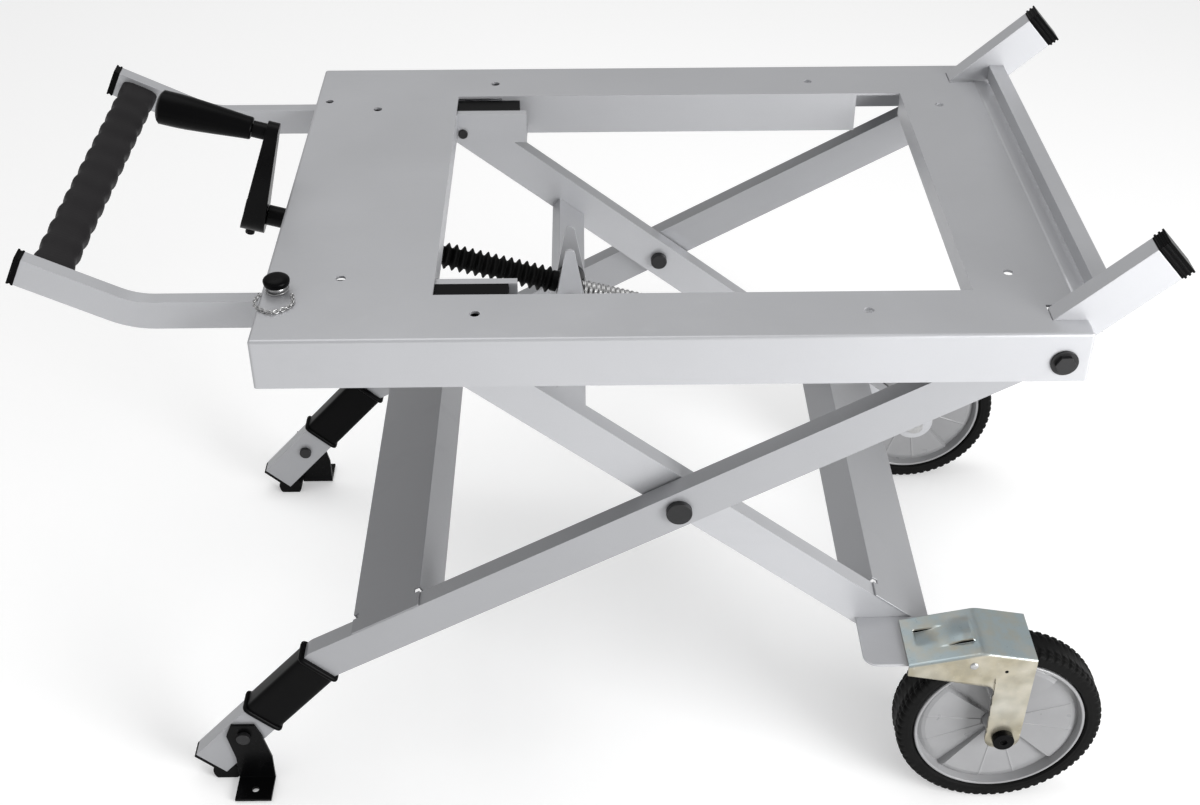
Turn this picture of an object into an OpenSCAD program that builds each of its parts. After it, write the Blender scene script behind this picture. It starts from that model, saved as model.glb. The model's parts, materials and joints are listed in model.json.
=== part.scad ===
// Rolling saw stand: a folded sheet table on a scissor frame with unequal legs.
// A crank turns a long screw that pulls a trunnion nut on the inner legs, which
// raises and lowers the table. Two wheels stand under one end, two feet under
// the other, and a pull handle slides in guides under the table.
// Millimetres, +Z up, origin on the floor in the middle of the stand,
// +X toward the wheels, near side at negative Y.

/* [Table] */
// Length of the table top
table_l = 710; // [640:5:780]
// Width of the table top
table_w = 540; // [500:5:620]
// Height of the table top above the floor
table_h = 558; // [545:1:575]
// Depth of the folded skirt
skirt_h = 48; // [46:1:56]
// Thickness of the table's sheet
sheet_t = 2.5; // [2:0.1:3]
// Radius of the outside bends
bend_r = 3; // [3:0.5:5]
// Table top between its left edge and the opening
left_strip = 150; // [140:2:160]
// Table top between the opening and its right edge
right_strip = 90; // [80:2:110]
// Depth of the flanges at the ends of the opening
end_flange_h = 25; // [20:1:30]
// Depth of the flanges along the sides of the opening
side_flange_h = 43; // [35:1:44]
// Opening's end to the start of a side flange
side_flange_in = 46; // [40:1:60]
// Diameter of the mounting holes
hole_d = 9; // [6:0.5:11]
// Corner holes to the table's left edge
corner_left = 67; // [60:1:80]
// Corner holes to the table's right edge
corner_right = 53; // [50:1:70]
// Corner holes to the table's long edges
corner_in = 100; // [90:1:120]
// Strip holes to the opening's ends
strip_hole_end = 38; // [30:1:60]
// Far strip holes to the opening's wheel end
strip_hole_far = 95; // [80:1:110]
// Strip holes to the table's long edges
strip_hole_in = 40; // [36:1:44]

/* [Scissor] */
// Height of the leg tubes
tube_h = 38; // [34:1:42]
// Width of the leg tubes
tube_w = 20; // [18:1:22]
// Wall of the leg tubes
tube_wall = 2; // [1.5:0.25:2.5]
// Table's long edge to the outer leg
leg_in = 23.3; // [21:0.5:26]
// Gap between an outer and an inner leg
leg_gap = 2.2; // [1.5:0.1:3]
// Gap between an inner leg and the opening's side flange
flange_gap = 3; // [2:0.25:5]
// Upper pivots to the table's right edge
pivot_in = 22.8; // [22:0.2:25]
// Pivots below the table top
pivot_drop = 28.7; // [28:0.1:30]
// Outer leg from its upper pivot to the crossing
outer_half = 366; // [356:1:376]
// Slope of the outer legs at rest, in degrees
outer_angle = 28.9; // [28:0.1:30]
// Sliders to the table's left edge at rest
slider_x = 140; // [130:1:150]
// Diameter of the pivot bolts
bolt_d = 10; // [8:0.5:11]

/* [Feet] */
// Slope of the bent foot, in degrees
foot_angle = 47.4; // [45:0.2:50]
// Length of the bent foot
foot_l = 188.7; // [180:0.1:196]
// Length of the plastic sleeve on the foot
sleeve_l = 98; // [80:1:110]
// Wall of the sleeve
sleeve_wall = 3; // [2:0.25:4]
// Radius of the rubber foot
pad_r = 14; // [12:0.5:16]

/* [Wheels] */
// Outside radius of the tyre
tyre_r = 101.6; // [95:0.2:104]
// Width of the tyre
tyre_w = 40; // [34:1:44]
// Radius of the rim
rim_r = 84; // [76:1:86]
// Diameter of the axle bolt
axle_d = 12; // [10:0.5:14]
// Middle of the wheel beyond the inner leg
wheel_out = 40.5; // [39:0.5:46]
// Number of tread notches round each shoulder
tread_n = 36; // [24:1:48]
// Number of vanes in the wheel disc
vane_n = 10; // [6:1:14]

/* [Crank and screw] */
// Swivel bearing to the table's left edge
swivel_x = 30.7; // [28:0.5:36]
// Swivel bearing below the table top
swivel_drop = 46; // [44:0.5:48]
// Diameter of the lift screw
screw_d = 16; // [14:0.5:17]
// Diameter of the plain crank shaft
shaft_d = 20; // [18:0.5:21]
// Screw beyond the nut at rest
screw_over = 85; // [80:1:100]
// Radius of the crank
crank_r = 88; // [80:1:100]
// Length of the crank's grip
grip_l = 90; // [78:1:98]
// Number of ribs on the bellows
bellows_n = 26; // [16:1:34]

/* [Handle] */
// Height of the handle tubes
bar_h = 27; // [24:0.5:28]
// Width of the handle tubes
bar_w = 15; // [12:0.5:16]
// Handle tubes to the table's long edges
bar_in = 80.5; // [80:0.5:84]
// Straight handle tube outside the table
bar_out = 95; // [80:1:120]
// Bend radius of the handle tubes
bar_bend = 80; // [60:1:100]
// Angle of the handle's bend, in degrees
bar_angle = 26; // [20:1:32]
// Straight handle tube beyond the bend
bar_end = 84; // [75:1:100]
// Number of scallops along each edge of the grip
scallop_n = 12; // [8:1:16]

/* [Support arms] */
// Slope of the support arms, in degrees
arm_angle = 41.7; // [38:0.1:45]
// Length of a support arm beyond the table's end
arm_l = 102; // [80:1:120]
// Length of the ribbed end caps
arm_cap_l = 12; // [8:1:16]

/* [Hidden] */
$fn = 48;
cut = 1;
// Flats in each rounded bend
bend_steps = 6;
run_fit = 0.1;
free_fit = 0.3;
sheet = 2;
// The scissor's points from the table's left edge and its top face
pivot = [table_l - pivot_in, -pivot_drop];
centre = pivot - outer_half * [cos(outer_angle), sin(outer_angle)];
slider = [slider_x, -pivot_drop];
inner_angle = atan2(slider[1] - centre[1], centre[0] - slider[0]);
inner_up = norm(slider - centre);
inner_low = (centre[1] + table_h - tyre_r) / sin(inner_angle);
axle = centre + inner_low * [cos(inner_angle), -sin(inner_angle)];
// The legs below the crossing reach down to the feet and the axle
pad_sink_share = 0.9;
foot_rise = (foot_l + pad_r * pad_sink_share) * sin(foot_angle) + tube_h / 2 * cos(foot_angle);
outer_low = (centre[1] + table_h - foot_rise) / sin(outer_angle);
bend = centre - outer_low * [cos(outer_angle), sin(outer_angle)];
// Places across the stand, measured from its middle plane
outer_y = table_w / 2 - leg_in - tube_w / 2;
inner_y = outer_y - tube_w - leg_gap;
inner_face = inner_y - tube_w / 2;
open_w = 2 * (inner_face - flange_gap - sheet_t);
bar_y = table_w / 2 - bar_in;
wheel_y = inner_y + tube_w / 2 + wheel_out;
// Handle
bar_top = 6.5;
bar_z = -bar_top - bar_h / 2;
bar_wall = 1.5;
bar_in_end = 205;
bar_cap = 6;
bar_cap_lip = 0.6;
grip_w = 37;
grip_t = 20;
grip_back = 6;
scallop_deep = 2;
scallop_share = 0.9;
// Support arms
arm_shift = 1.9;
arm_y = outer_y + arm_shift;
arm_notch_gap = 4.5;
arm_top_x = table_l - 31.5;
arm_clear = 6;
arm_cap_lip = 1;
arm_foot = 60;
cross_bar = 16;
cross_bar_x = table_l + 9;
cross_bar_wall = 1.5;
arm_end = [arm_top_x + arm_l * cos(arm_angle), arm_l * sin(arm_angle)];
// The part's own origin: the middle between the handle's and the arms' ends
bar_rise_x = bar_out + bar_bend * sin(bar_angle) + (bar_end + bar_cap) * cos(bar_angle);
x_low = -bar_rise_x - (bar_h / 2 + bar_cap_lip) * sin(bar_angle);
x_high = arm_end[0] + arm_cap_l * cos(arm_angle) + (tube_h + arm_cap_lip) * sin(arm_angle);
table_x = -(x_low + x_high) / 2;
// Slider rail
rail_reach = [90, 110];
rail_gap = 3.4;
roller_r = 10;
roller_gap = 4.5;
roller_w = 17;
rail_side = 1;
rail_deep = 20;
// Pivot hardware
sleeve_r = 8;
head_r = 12;
head_h = 6;
nut_r = 9;
nut_h = 8;
// Crossmembers, as distances along the legs from the crossing
outer_web_up = [125, 48];
outer_web = [for (d = outer_web_up) outer_low - d];
inner_web_up = [174.8, 99.8];
inner_web = [for (d = inner_web_up) inner_low - d];
web_flange = 38;
web_relief = 6;
// Cross tube and clevis on the inner legs
cross_at = 119.75;
cross_w = 34;
cross_h = 13.4;
cross_wall = 2;
ear_gap = 43;
ear_t = 3;
ear_base = 31;
ear_top = 52;
ear_tip = 5;
nut_at = [-133.1, 9.95];
nut_block_r = 14.4;
nut_pin_d = 8;
nut_pin_in = 8;
nut_pin_head_share = 0.8;
nut_slack = 3.2;
nut_offset = 2.9;
// The screw's line, from the swivel bearing to the nut's trunnion
swivel = [swivel_x, -swivel_drop];
nut = centre + [
    nut_at[0] * cos(inner_angle) + nut_at[1] * sin(inner_angle),
    -nut_at[0] * sin(inner_angle) + nut_at[1] * cos(inner_angle)
];
nut_far = norm(nut - swivel);
screw_angle = atan2(swivel[1] - nut[1], nut[0] - swivel[0]) - asin(nut_offset / nut_far);
swivel_r = 15;
swivel_l = 26;
swivel_pin_d = 10;
swivel_pin = 6;
swivel_pin_boss_share = 0.7;
hanger_t = 3;
hanger_w = 40;
hanger_low = 18;
hanger_top = 22;
crank_back = 70;
arm_hub = [-11.5, 10.5];
arm_tip = [-5, 7.3];
hub_r = 18.5;
tip_r = 11;
arm_steps = 16;
hub_screw_x = -3;
hub_screw_r = 4.6;
hub_screw_h = 6;
hub_nut_r = 12;
hub_nut_h = 7;
spindle_d = 8;
grip_r = 16.8;
grip_neck = 11;
grip_round = 2;
grip_dome = 7;
grip_cap = 10.5;
grip_dome_shares = [[0.55, 0.1], [0.87, 0.42]];
grip_body_shares = [[1, 0.3], [0.89, 0.55], [0.75, 0.82]];
grip_boss_r = 8;
grip_gap = 17.6;
bellows_r = 13.5;
bellows_root = 10.6;
bellows_fit = 0.35;
bellows_bore = screw_d / 2 + bellows_fit;
bellows_end = 6;
// Wheel fork and cover
fork_t = 4;
fork_r = 23;
fork_up = 95;
fork_tube_gap = 45;
tongue_x = [-143, -52];
tongue_z = 92;
tongue_t = 3;
tongue_y = [0, 66];
tongue_round = 14;
cover_y = [8, 71.5];
cover_t = 2.5;
cover_left = [-102, 98];
cover_ridge = [-30, 113.5];
cover_right = [20, 104.5];
flange_left = [-99, 85];
flange_mid = [-52, 76];
flange_right = [-19, 70];
drop_w = 34;
drop_r = 15;
rivet_at = [-40, 100];
rivet_r = 3.5;
rivet_h = 1.2;
dimple_at = [-8, 92];
dimple_r = 2;
bridge_x = [-78, -38];
bridge_y = [28, 52];
bridge_h = 4;
hub_out = 18;
hub_wall = 7;
spacer_r = 10;
axle_cap_r = 10.5;
axle_cap_h = 8;
cap_dish_share = 0.7;
axle_nut_r = 10;
axle_nut_h = 9;
// Wheel
rim_t = 4;
disc_t = 5;
vane_t = 3;
vane_share = 0.7;
tread_deep = 3;
tread_w = 5;
tread_long = 11;
groove_w = 3;
shoulder = 6;
// Foot
pad_deep = 4;
sleeve_start = 4;
sleeve_lip = 3.5;
sleeve_lip_l = 7;
bracket_at = 131;
bracket_t = 3;
bracket_w = 36;
bracket_top = 15;
bracket_gap = 1.5;
bracket_flange = 33;
bracket_hole = 7;
// Heel, toe and hole of the floor plate, as shares of its width
bracket_heel_share = 1 / 3;
bracket_toe_share = 0.7;
bracket_hole_shares = [0.2, 0.6];
foot_bolt_d = 8;
foot_nut_r = 7;
foot_nut_h = 5;
// Handle guides
guide_t = 2;
guide_in = 7.5;
guide_l = 220;
guide_lip = 8.6;
guide_top = 4.5;
guide_low = 37;
guide_bolt_r = 3;
guide_bolt_head = 5;
block_l = 28;
inner_block_l = 95;
inner_block_x = 120;
// Lock pin
pin_x = 14.3;
pin_d = 8;
pin_low = 34.7;
pin_slot = 40;
knob_r = 11.8;
knob_h = 8.5;
knob_waist_share = 0.8;
knob_crown_share = 0.85;
knob_shares = [0.3, 0.8];
collar_r = 8.4;
collar_h = 6;
link_n = 5;
link_step = 5.68;
link_start = 4.2;
chain_hole = 5;
chain_in = 35.5;
link_l = 7;
link_w = 3.4;
link_wire = 0.55;
window_gap = 1;
notch_w = 24;
notch_top = 23;

near = -1;
far = 1;

// Frames: x from the table's left edge, z from its top face
module on_table() translate([table_x, 0, table_h]) children();
module at_side(side) mirror([0, side < 0 ? 1 : 0, 0]) children();
module at_point(p) translate([p[0], 0, p[1]]) children();
// Along the outer leg, +X toward its upper pivot
module on_outer() on_table() at_point(centre) rotate([0, -outer_angle, 0]) children();
// Along the inner leg, +X toward the axle
module on_inner() on_table() at_point(centre) rotate([0, inner_angle, 0]) children();
// Along the bent foot, +X toward the floor, -Z the underside
module on_foot() on_table() at_point(bend) rotate([0, 180 - foot_angle, 0]) mirror([0, 0, 1]) children();
// Along the lift screw, +X toward the nut
module on_screw() on_table() at_point(swivel) rotate([0, screw_angle, 0]) children();
// At a wheel's axle
module on_axle() on_table() at_point(axle) children();

// A bar of round section along Y from y0 to y1
module y_rod(r, y0, y1) translate([0, y0, 0]) rotate([-90, 0, 0]) cylinder(r = r, h = y1 - y0);
// A bar of round section along X from x0 to x1
module x_rod(r, x0, x1) translate([x0, 0, 0]) rotate([0, 90, 0]) cylinder(r = r, h = x1 - x0);
// A box from one corner to the other
module box(a, b) translate(a) cube(b - a);
// A plane outline in X and Z made thick along Y, from y0 to y1
module slab(y0, y1) translate([0, y1, 0]) rotate([90, 0, 0]) linear_extrude(y1 - y0) children();
module hex(r, y0, y1) translate([0, y0, 0]) rotate([-90, 0, 0]) cylinder(r = r, h = y1 - y0, $fn = 6);

// Table
module rounded_top() {
    r = bend_r;
    w = table_w / 2;
    box([r, -w, -skirt_h], [table_l - r, w, -r]);
    box([0, r - w, -skirt_h], [table_l, w - r, -r]);
    box([r, r - w, -skirt_h], [table_l - r, w - r, 0]);
    for (y = [r - w, w - r]) translate([0, y, -r]) x_rod(r, r, table_l - r);
    for (x = [r, table_l - r]) {
        translate([x, 0, -r]) y_rod(r, r - w, w - r);
        for (y = [r - w, w - r]) translate([x, y, 0]) {
            translate([0, 0, -skirt_h]) cylinder(r = r, h = skirt_h - r);
            translate([0, 0, -r]) sphere(r = r);
        }
    }
}
module table_holes() {
    for (s = [near, far]) {
        for (x = [corner_left, table_l - corner_right])
            translate([x, s * (table_w / 2 - corner_in), -sheet_t - cut])
                cylinder(d = hole_d, h = sheet_t + 2 * cut);
        for (x = [left_strip + strip_hole_end, table_l - right_strip - strip_hole_far])
            translate([x, s * (table_w / 2 - strip_hole_in), -sheet_t - cut])
                cylinder(d = hole_d, h = sheet_t + 2 * cut);
        translate([pin_x, s * bar_y, -sheet_t - cut])
            cylinder(d = pin_d + 2 * run_fit, h = sheet_t + 2 * cut);
    }
    translate([pin_x, -bar_y - chain_in, -sheet_t - cut]) cylinder(d = chain_hole, h = sheet_t + 2 * cut);
}
module opening_flanges() {
    x0 = left_strip;
    x1 = table_l - right_strip;
    guide_y = bar_y - bar_w / 2 - 2 * guide_in - guide_t;
    for (s = [near, far])
        at_side(s) box([x0 + side_flange_in, open_w / 2, -side_flange_h],
            [x1 - side_flange_in, open_w / 2 + sheet_t, -sheet_t]);
    box([x0 - sheet_t, -guide_y, -end_flange_h], [x0, guide_y, -sheet_t]);
    box([x1, -open_w / 2, -end_flange_h], [x1 + sheet_t, open_w / 2, -sheet_t]);
}
module table_top() color("lightsteelblue") on_table() {
    w = table_w / 2;
    notch_in = arm_y - tube_w / 2 - arm_notch_gap;
    notch_deep = (table_l - sheet_t - arm_top_x) * tan(arm_angle) - tube_h / cos(arm_angle);
    difference() {
        rounded_top();
        box([sheet_t, sheet_t - w, -skirt_h - cut], [table_l - sheet_t, w - sheet_t, -sheet_t]);
        box([left_strip, -open_w / 2, -sheet_t - cut], [table_l - right_strip, open_w / 2, cut]);
        table_holes();
        for (s = [near, far]) at_side(s) {
            // Notch where a support arm passes the corner
            box([arm_top_x - cut, notch_in, notch_deep - free_fit], [table_l + cut, arm_y + tube_w / 2, cut]);
            // Window for a handle tube
            box([-cut, bar_y - bar_w / 2 - window_gap, bar_z - bar_h / 2 - window_gap],
                [sheet_t + cut, bar_y + bar_w / 2 + window_gap, bar_z + bar_h / 2 + window_gap]);
            at_point(pivot) y_rod(bolt_d / 2, w - sheet_t - cut, w + cut);
        }
        // Open notch for the crank shaft
        box([-cut, -notch_w / 2, -skirt_h - cut], [sheet_t + cut, notch_w / 2, -notch_top - notch_w / 2]);
        translate([0, 0, -notch_top - notch_w / 2]) x_rod(notch_w / 2, -cut, sheet_t + cut);
    }
    opening_flanges();
}
rail_mid = -pivot_drop - rail_gap / 2 + free_fit;
rail_half = roller_r + rail_gap / 2;
module rail(side) color("silver") on_table() at_side(side) {
    x0 = slider_x - rail_reach[0];
    x1 = slider_x + rail_reach[1];
    y0 = inner_y + tube_w / 2 + roller_gap - rail_side;
    y1 = y0 + rail_deep;
    box([x0, y1, rail_mid - rail_half - sheet], [x1, y1 + sheet, -sheet_t]);
    box([x0, y0, rail_mid - rail_half - sheet], [x1, y1, rail_mid - rail_half]);
    box([x0, y0, rail_mid + rail_half], [x1, y1, rail_mid + rail_half + sheet]);
}
guide_bolt_x = left_strip + guide_bolt_head + free_fit;
module guide(side) color("silver") on_table() at_side(side) {
    y0 = bar_y - bar_w / 2 - 2 * guide_in;
    y1 = bar_y + bar_w / 2 + sheet_t - guide_t;
    x1 = sheet_t + guide_l;
    difference() {
        union() {
            box([sheet_t, y0 - guide_t, -guide_low], [x1, y0, -guide_top]);
            box([sheet_t, y0, -guide_low], [x1, y1, guide_t - guide_low]);
            box([sheet_t, y0, -guide_top - guide_t], [x1, y0 - guide_t + guide_lip, -guide_top]);
        }
        translate([guide_bolt_x, 0, bar_z - bar_top]) y_rod(guide_bolt_r, y0 - guide_t - cut, y0 + cut);
    }
}
module guide_bolts() color("dimgray") on_table() for (s = [near, far]) at_side(s)
    translate([guide_bolt_x, 0, bar_z - bar_top]) {
        y0 = bar_y - bar_w / 2 - 2 * guide_in;
        y_rod(guide_bolt_r, y0 - guide_t, y0);
        y_rod(guide_bolt_head, y0 - guide_t - guide_bolt_r, y0 - guide_t);
    }
module bar_outline(grow) square([bar_w + 2 * grow, bar_h + 2 * grow], center = true);
module guide_block(x0, x1) {
    y0 = bar_y - bar_w / 2 - 2 * guide_in;
    y1 = bar_y + bar_w / 2 + sheet_t - guide_t;
    difference() {
        union() {
            box([x0, y0, guide_t - guide_low], [x1, y1, -guide_top - guide_t]);
            box([x0, y0 - guide_t + guide_lip, -guide_top - guide_t], [x1, y1, -guide_top]);
        }
        translate([x0 - cut, bar_y, bar_z]) rotate([90, 0, 90])
            linear_extrude(x1 - x0 + 2 * cut) bar_outline(free_fit);
    }
}
module guide_blocks(side) color("#202020") on_table() at_side(side) {
    difference() {
        guide_block(sheet_t, sheet_t + block_l);
        translate([pin_x, bar_y, -guide_low]) cylinder(d = pin_d + 2 * run_fit, h = guide_low);
    }
    guide_block(inner_block_x, inner_block_x + inner_block_l);
}
// Support arms, cut off where the leg's end turns below them
module on_arm() on_table() at_point(arm_end) rotate([0, -arm_angle, 0]) children();
module arm(side) color("lightsteelblue") difference() {
    at_side(side) translate([0, arm_y, 0]) on_arm() difference() {
        box([-arm_l - arm_foot, -tube_w / 2, -tube_h], [0, tube_w / 2, 0]);
        box([-arm_l - arm_foot - cut, tube_wall - tube_w / 2, tube_wall - tube_h],
            [cut, tube_w / 2 - tube_wall, -tube_wall]);
    }
    on_table() box([-cut, -table_w, -table_h], [table_l - sheet_t, table_w, -arm_clear]);
    on_table() box([-cut, -table_w, -table_h], [arm_top_x, table_w, table_h]);
}
module arm_cap() {
    rib = arm_cap_l / 6;
    difference() {
        union() {
            box([0, -tube_w / 2, -tube_h], [arm_cap_l, tube_w / 2, 0]);
            for (i = [0:2]) box([rib * (2 * i + 1), -tube_w / 2 - arm_cap_lip, -tube_h - arm_cap_lip],
                [rib * (2 * i + 2), tube_w / 2 + arm_cap_lip, arm_cap_lip]);
        }
        box([rib - arm_cap_l, tube_wall - tube_w / 2, tube_wall - tube_h],
            [arm_cap_l - rib, tube_w / 2 - tube_wall, -tube_wall]);
    }
    box([-arm_cap_l, tube_wall - tube_w / 2, tube_wall - tube_h],
        [arm_cap_l - rib, tube_w / 2 - tube_wall, -tube_wall]);
}
module arm_caps() color("#181818")
    for (s = [near, far]) at_side(s) translate([0, arm_y, 0]) on_arm() arm_cap();
module arm_cross_bar() color("lightsteelblue") on_table() {
    y = arm_y - tube_w / 2;
    z0 = (cross_bar_x - arm_top_x) * tan(arm_angle) - tube_h / cos(arm_angle) + cross_bar;
    translate([cross_bar_x, 0, z0]) difference() {
        box([0, -y, 0], [cross_bar, y, cross_bar]);
        box([cross_bar_wall, -y - cut, cross_bar_wall],
            [cross_bar - cross_bar_wall, y + cut, cross_bar - cross_bar_wall]);
    }
}
module bearing_hanger() color("silver") on_table() {
    y0 = swivel_r + swivel_pin / 2;
    difference() {
        union() {
            for (s = [near, far]) at_side(s) {
                box([swivel_x - hanger_w / 2, y0, -swivel_drop - hanger_low],
                    [swivel_x + hanger_w / 2 - sheet_t, y0 + hanger_t, -sheet_t]);
                box([swivel_x - hanger_w / 2, y0, -sheet_t - hanger_t],
                    [swivel_x + hanger_w / 2 - sheet_t, y0 + hanger_top, -sheet_t]);
            }
        }
        at_point(swivel) y_rod(swivel_pin_d / 2 + run_fit, -table_w, table_w);
    }
}
module table_pivot_bolts() color("gainsboro") on_table() for (s = [near, far]) at_side(s) at_point(pivot) {
    y0 = outer_y - tube_w / 2;
    y1 = outer_y + tube_w / 2;
    w = table_w / 2;
    y_rod(bolt_d / 2, y0 - nut_h, w + head_h);
    y_rod(head_r, w, w + head_h / 3);
    hex(nut_r, w, w + head_h);
    y_rod(nut_r, y0 - nut_h, y0);
    y_rod(nut_r, y1, w - sheet_t);
}

// Outer legs
// Points on an arc round c, from angle a0 to a1
function arc(c, r, a0, a1) = [for (i = [0:bend_steps])
    c + r * [cos(a0 + (a1 - a0) * i / bend_steps), sin(a0 + (a1 - a0) * i / bend_steps)]];
module outer_outline(inset) {
    h = tube_h / 2 - inset;
    turn = foot_angle - outer_angle;
    corner = [-outer_low, 0];
    end = corner - (foot_l + (inset > 0 ? cut : 0)) * [cos(turn), sin(turn)];
    across = h * [-sin(turn), cos(turn)];
    polygon(concat(
        [[outer_half, -h], [outer_half, h]], arc(corner, h, 90, 90 + turn),
        [end + across, end - across, corner + [h * tan(turn / 2), -h]]));
    translate([outer_half, 0]) circle(r = h);
}
module outer_leg(side) color("silver") at_side(side) difference() {
    on_outer() difference() {
        union() {
            difference() {
                slab(outer_y - tube_w / 2, outer_y + tube_w / 2) outer_outline(0);
                slab(outer_y - tube_w / 2 + tube_wall, outer_y + tube_w / 2 - tube_wall)
                    outer_outline(tube_wall);
            }
            for (x = [0, outer_half]) translate([x, 0, 0])
                y_rod(sleeve_r, outer_y - tube_w / 2, outer_y + tube_w / 2);
        }
        for (x = [0, outer_half]) translate([x, 0, 0])
            y_rod(bolt_d / 2 + run_fit, outer_y - tube_w / 2 - cut, outer_y + tube_w / 2 + cut);
    }
    on_foot() translate([bracket_at, 0, 0]) y_rod(foot_bolt_d / 2, outer_y - tube_w, outer_y + tube_w);
}
// A web across two legs with a flange folded down between them at each edge
module crossmember(x0, x1, half, between, flanges) {
    z = tube_h / 2;
    relief = web_relief;
    difference() {
        box([x0, -half, z], [x1, half, z + sheet]);
        for (s = [near, far]) at_side(s)
            for (x = flanges)
                box([x - relief, between - relief, z - cut], [x + relief, between, z + sheet + cut]);
    }
    for (x = flanges)
        box([x == x0 ? x0 : x1 - sheet, relief - between, z - web_flange],
            [x == x0 ? x0 + sheet : x1, between - relief, z]);
}
module outer_crossmember() color("lightsteelblue") on_outer() crossmember(
    -outer_web[1], -outer_web[0], outer_y + tube_w / 2, outer_y - tube_w / 2, [-outer_web[0], -outer_web[1]]);
module inner_crossmember() color("lightsteelblue") on_inner() crossmember(
    inner_web[0], inner_web[1], inner_y + tube_w / 2, inner_face, [inner_web[0]]);
module centre_bolts() color("dimgray") on_outer() for (s = [near, far]) at_side(s) {
    y0 = inner_face;
    y1 = outer_y + tube_w / 2;
    y_rod(bolt_d / 2, y0 - nut_h, y1 + cut);
    y_rod(head_r, y1, y1 + head_h);
    y_rod(nut_r, y0 - nut_h, y0 - free_fit);
    y_rod(head_r, inner_y + tube_w / 2 + free_fit, inner_y + tube_w / 2 + leg_gap);
}

// Feet
module foot_outline(grow) square([tube_w + 2 * grow, tube_h + 2 * grow], center = true);
module foot_sleeve(side) color("#161616") at_side(side) on_foot() translate([sleeve_start, outer_y, 0])
    rotate([90, 0, 90]) difference() {
        union() {
            linear_extrude(sleeve_l) foot_outline(sleeve_wall);
            for (z = [0, sleeve_l - sleeve_lip_l]) translate([0, 0, z])
                linear_extrude(sleeve_lip_l) foot_outline(sleeve_lip + sleeve_wall / 2);
        }
        translate([0, 0, -cut]) linear_extrude(sleeve_l + 2 * cut) foot_outline(0);
    }
// A round rubber foot hung on the tube's lower end, flat where it meets the floor
module foot_pad(side) color("#1c1c1c") at_side(side) difference() {
    on_foot() {
        translate([foot_l, 0, -tube_h / 2]) y_rod(pad_r, outer_y - tube_w / 2, outer_y + tube_w / 2);
        box([foot_l, outer_y - tube_w / 2, -tube_h / 2],
            [foot_l + pad_deep, outer_y + tube_w / 2, tube_h / 2]);
        box([foot_l - pad_r, outer_y - tube_w / 2 + tube_wall, tube_wall - tube_h / 2],
            [foot_l + cut, outer_y + tube_w / 2 - tube_wall, tube_h / 2 - tube_wall]);
    }
    on_foot() difference() {
        box([-cut, outer_y - tube_w, -tube_h / 2], [foot_l, outer_y + tube_w, tube_h]);
        box([-2 * cut, outer_y - tube_w / 2 + tube_wall, tube_wall - tube_h / 2],
            [foot_l + cut, outer_y + tube_w / 2 - tube_wall, tube_h / 2 - tube_wall]);
    }
    box([-table_l, 0, -table_h], [table_l, table_w, 0]);
}
module foot_bolts() color("gainsboro") for (s = [near, far]) at_side(s)
    on_foot() translate([bracket_at, 0, 0]) {
        y0 = outer_y - tube_w / 2;
        y1 = outer_y + tube_w / 2;
        y_rod(foot_bolt_d / 2, y0 - foot_nut_h, y1 + bracket_t + free_fit);
        y_rod(foot_nut_r, y1 + bracket_t + free_fit, y1 + bracket_t + free_fit + foot_nut_h);
        y_rod(foot_nut_r, y0 - foot_nut_h, y0);
    }
// A bent bracket that hangs from its bolt and lies along the floor
module foot_bracket(side) color("#141414") at_side(side) {
    y0 = outer_y + tube_w / 2 + free_fit / 2;
    hang = table_h + bend[1] - bracket_at * sin(foot_angle);
    low = -hang + bracket_gap;
    heel = bracket_w * bracket_heel_share;
    toe = bracket_w * bracket_toe_share;
    on_table() at_point(bend) translate([-bracket_at * cos(foot_angle), 0, -bracket_at * sin(foot_angle)]) {
        difference() {
            slab(y0, y0 + bracket_t) {
                polygon([
                    [-bracket_w / 2, 0], [-heel, bracket_top], [heel, bracket_top], [bracket_w / 2, 0],
                    [toe, low / 2], [toe, low], [-heel, low], [-heel, low / 2]
                ]);
            }
            y_rod(foot_bolt_d / 2 + run_fit, y0 - cut, y0 + bracket_t + cut);
        }
        difference() {
            box([-heel, y0, low], [toe, y0 + bracket_flange, low + bracket_t]);
            translate([
                bracket_w * bracket_hole_shares[0], y0 + bracket_flange * bracket_hole_shares[1], low - cut])
                cylinder(d = bracket_hole, h = bracket_t + 2 * cut);
        }
    }
}

// Inner legs
inner_end = inner_low - fork_tube_gap;
module inner_outline(inset) {
    h = tube_h / 2 - inset;
    translate([-inner_up, -h]) square([inner_up + inner_end - inset, 2 * h]);
    translate([-inner_up, 0]) circle(r = h);
}
module inner_leg(side) color("silver") at_side(side) on_inner() difference() {
    union() {
        difference() {
            slab(inner_y - tube_w / 2, inner_y + tube_w / 2) inner_outline(0);
            slab(inner_y - tube_w / 2 + tube_wall, inner_y + tube_w / 2 - tube_wall) inner_outline(tube_wall);
        }
        y_rod(sleeve_r, inner_y - tube_w / 2, inner_y + tube_w / 2);
    }
    y_rod(bolt_d / 2 + run_fit, inner_y - tube_w / 2 - cut, inner_y + tube_w / 2 + cut);
    translate([-inner_up, 0, 0]) y_rod(bolt_d / 2, inner_y, inner_y + tube_w);
}
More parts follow.
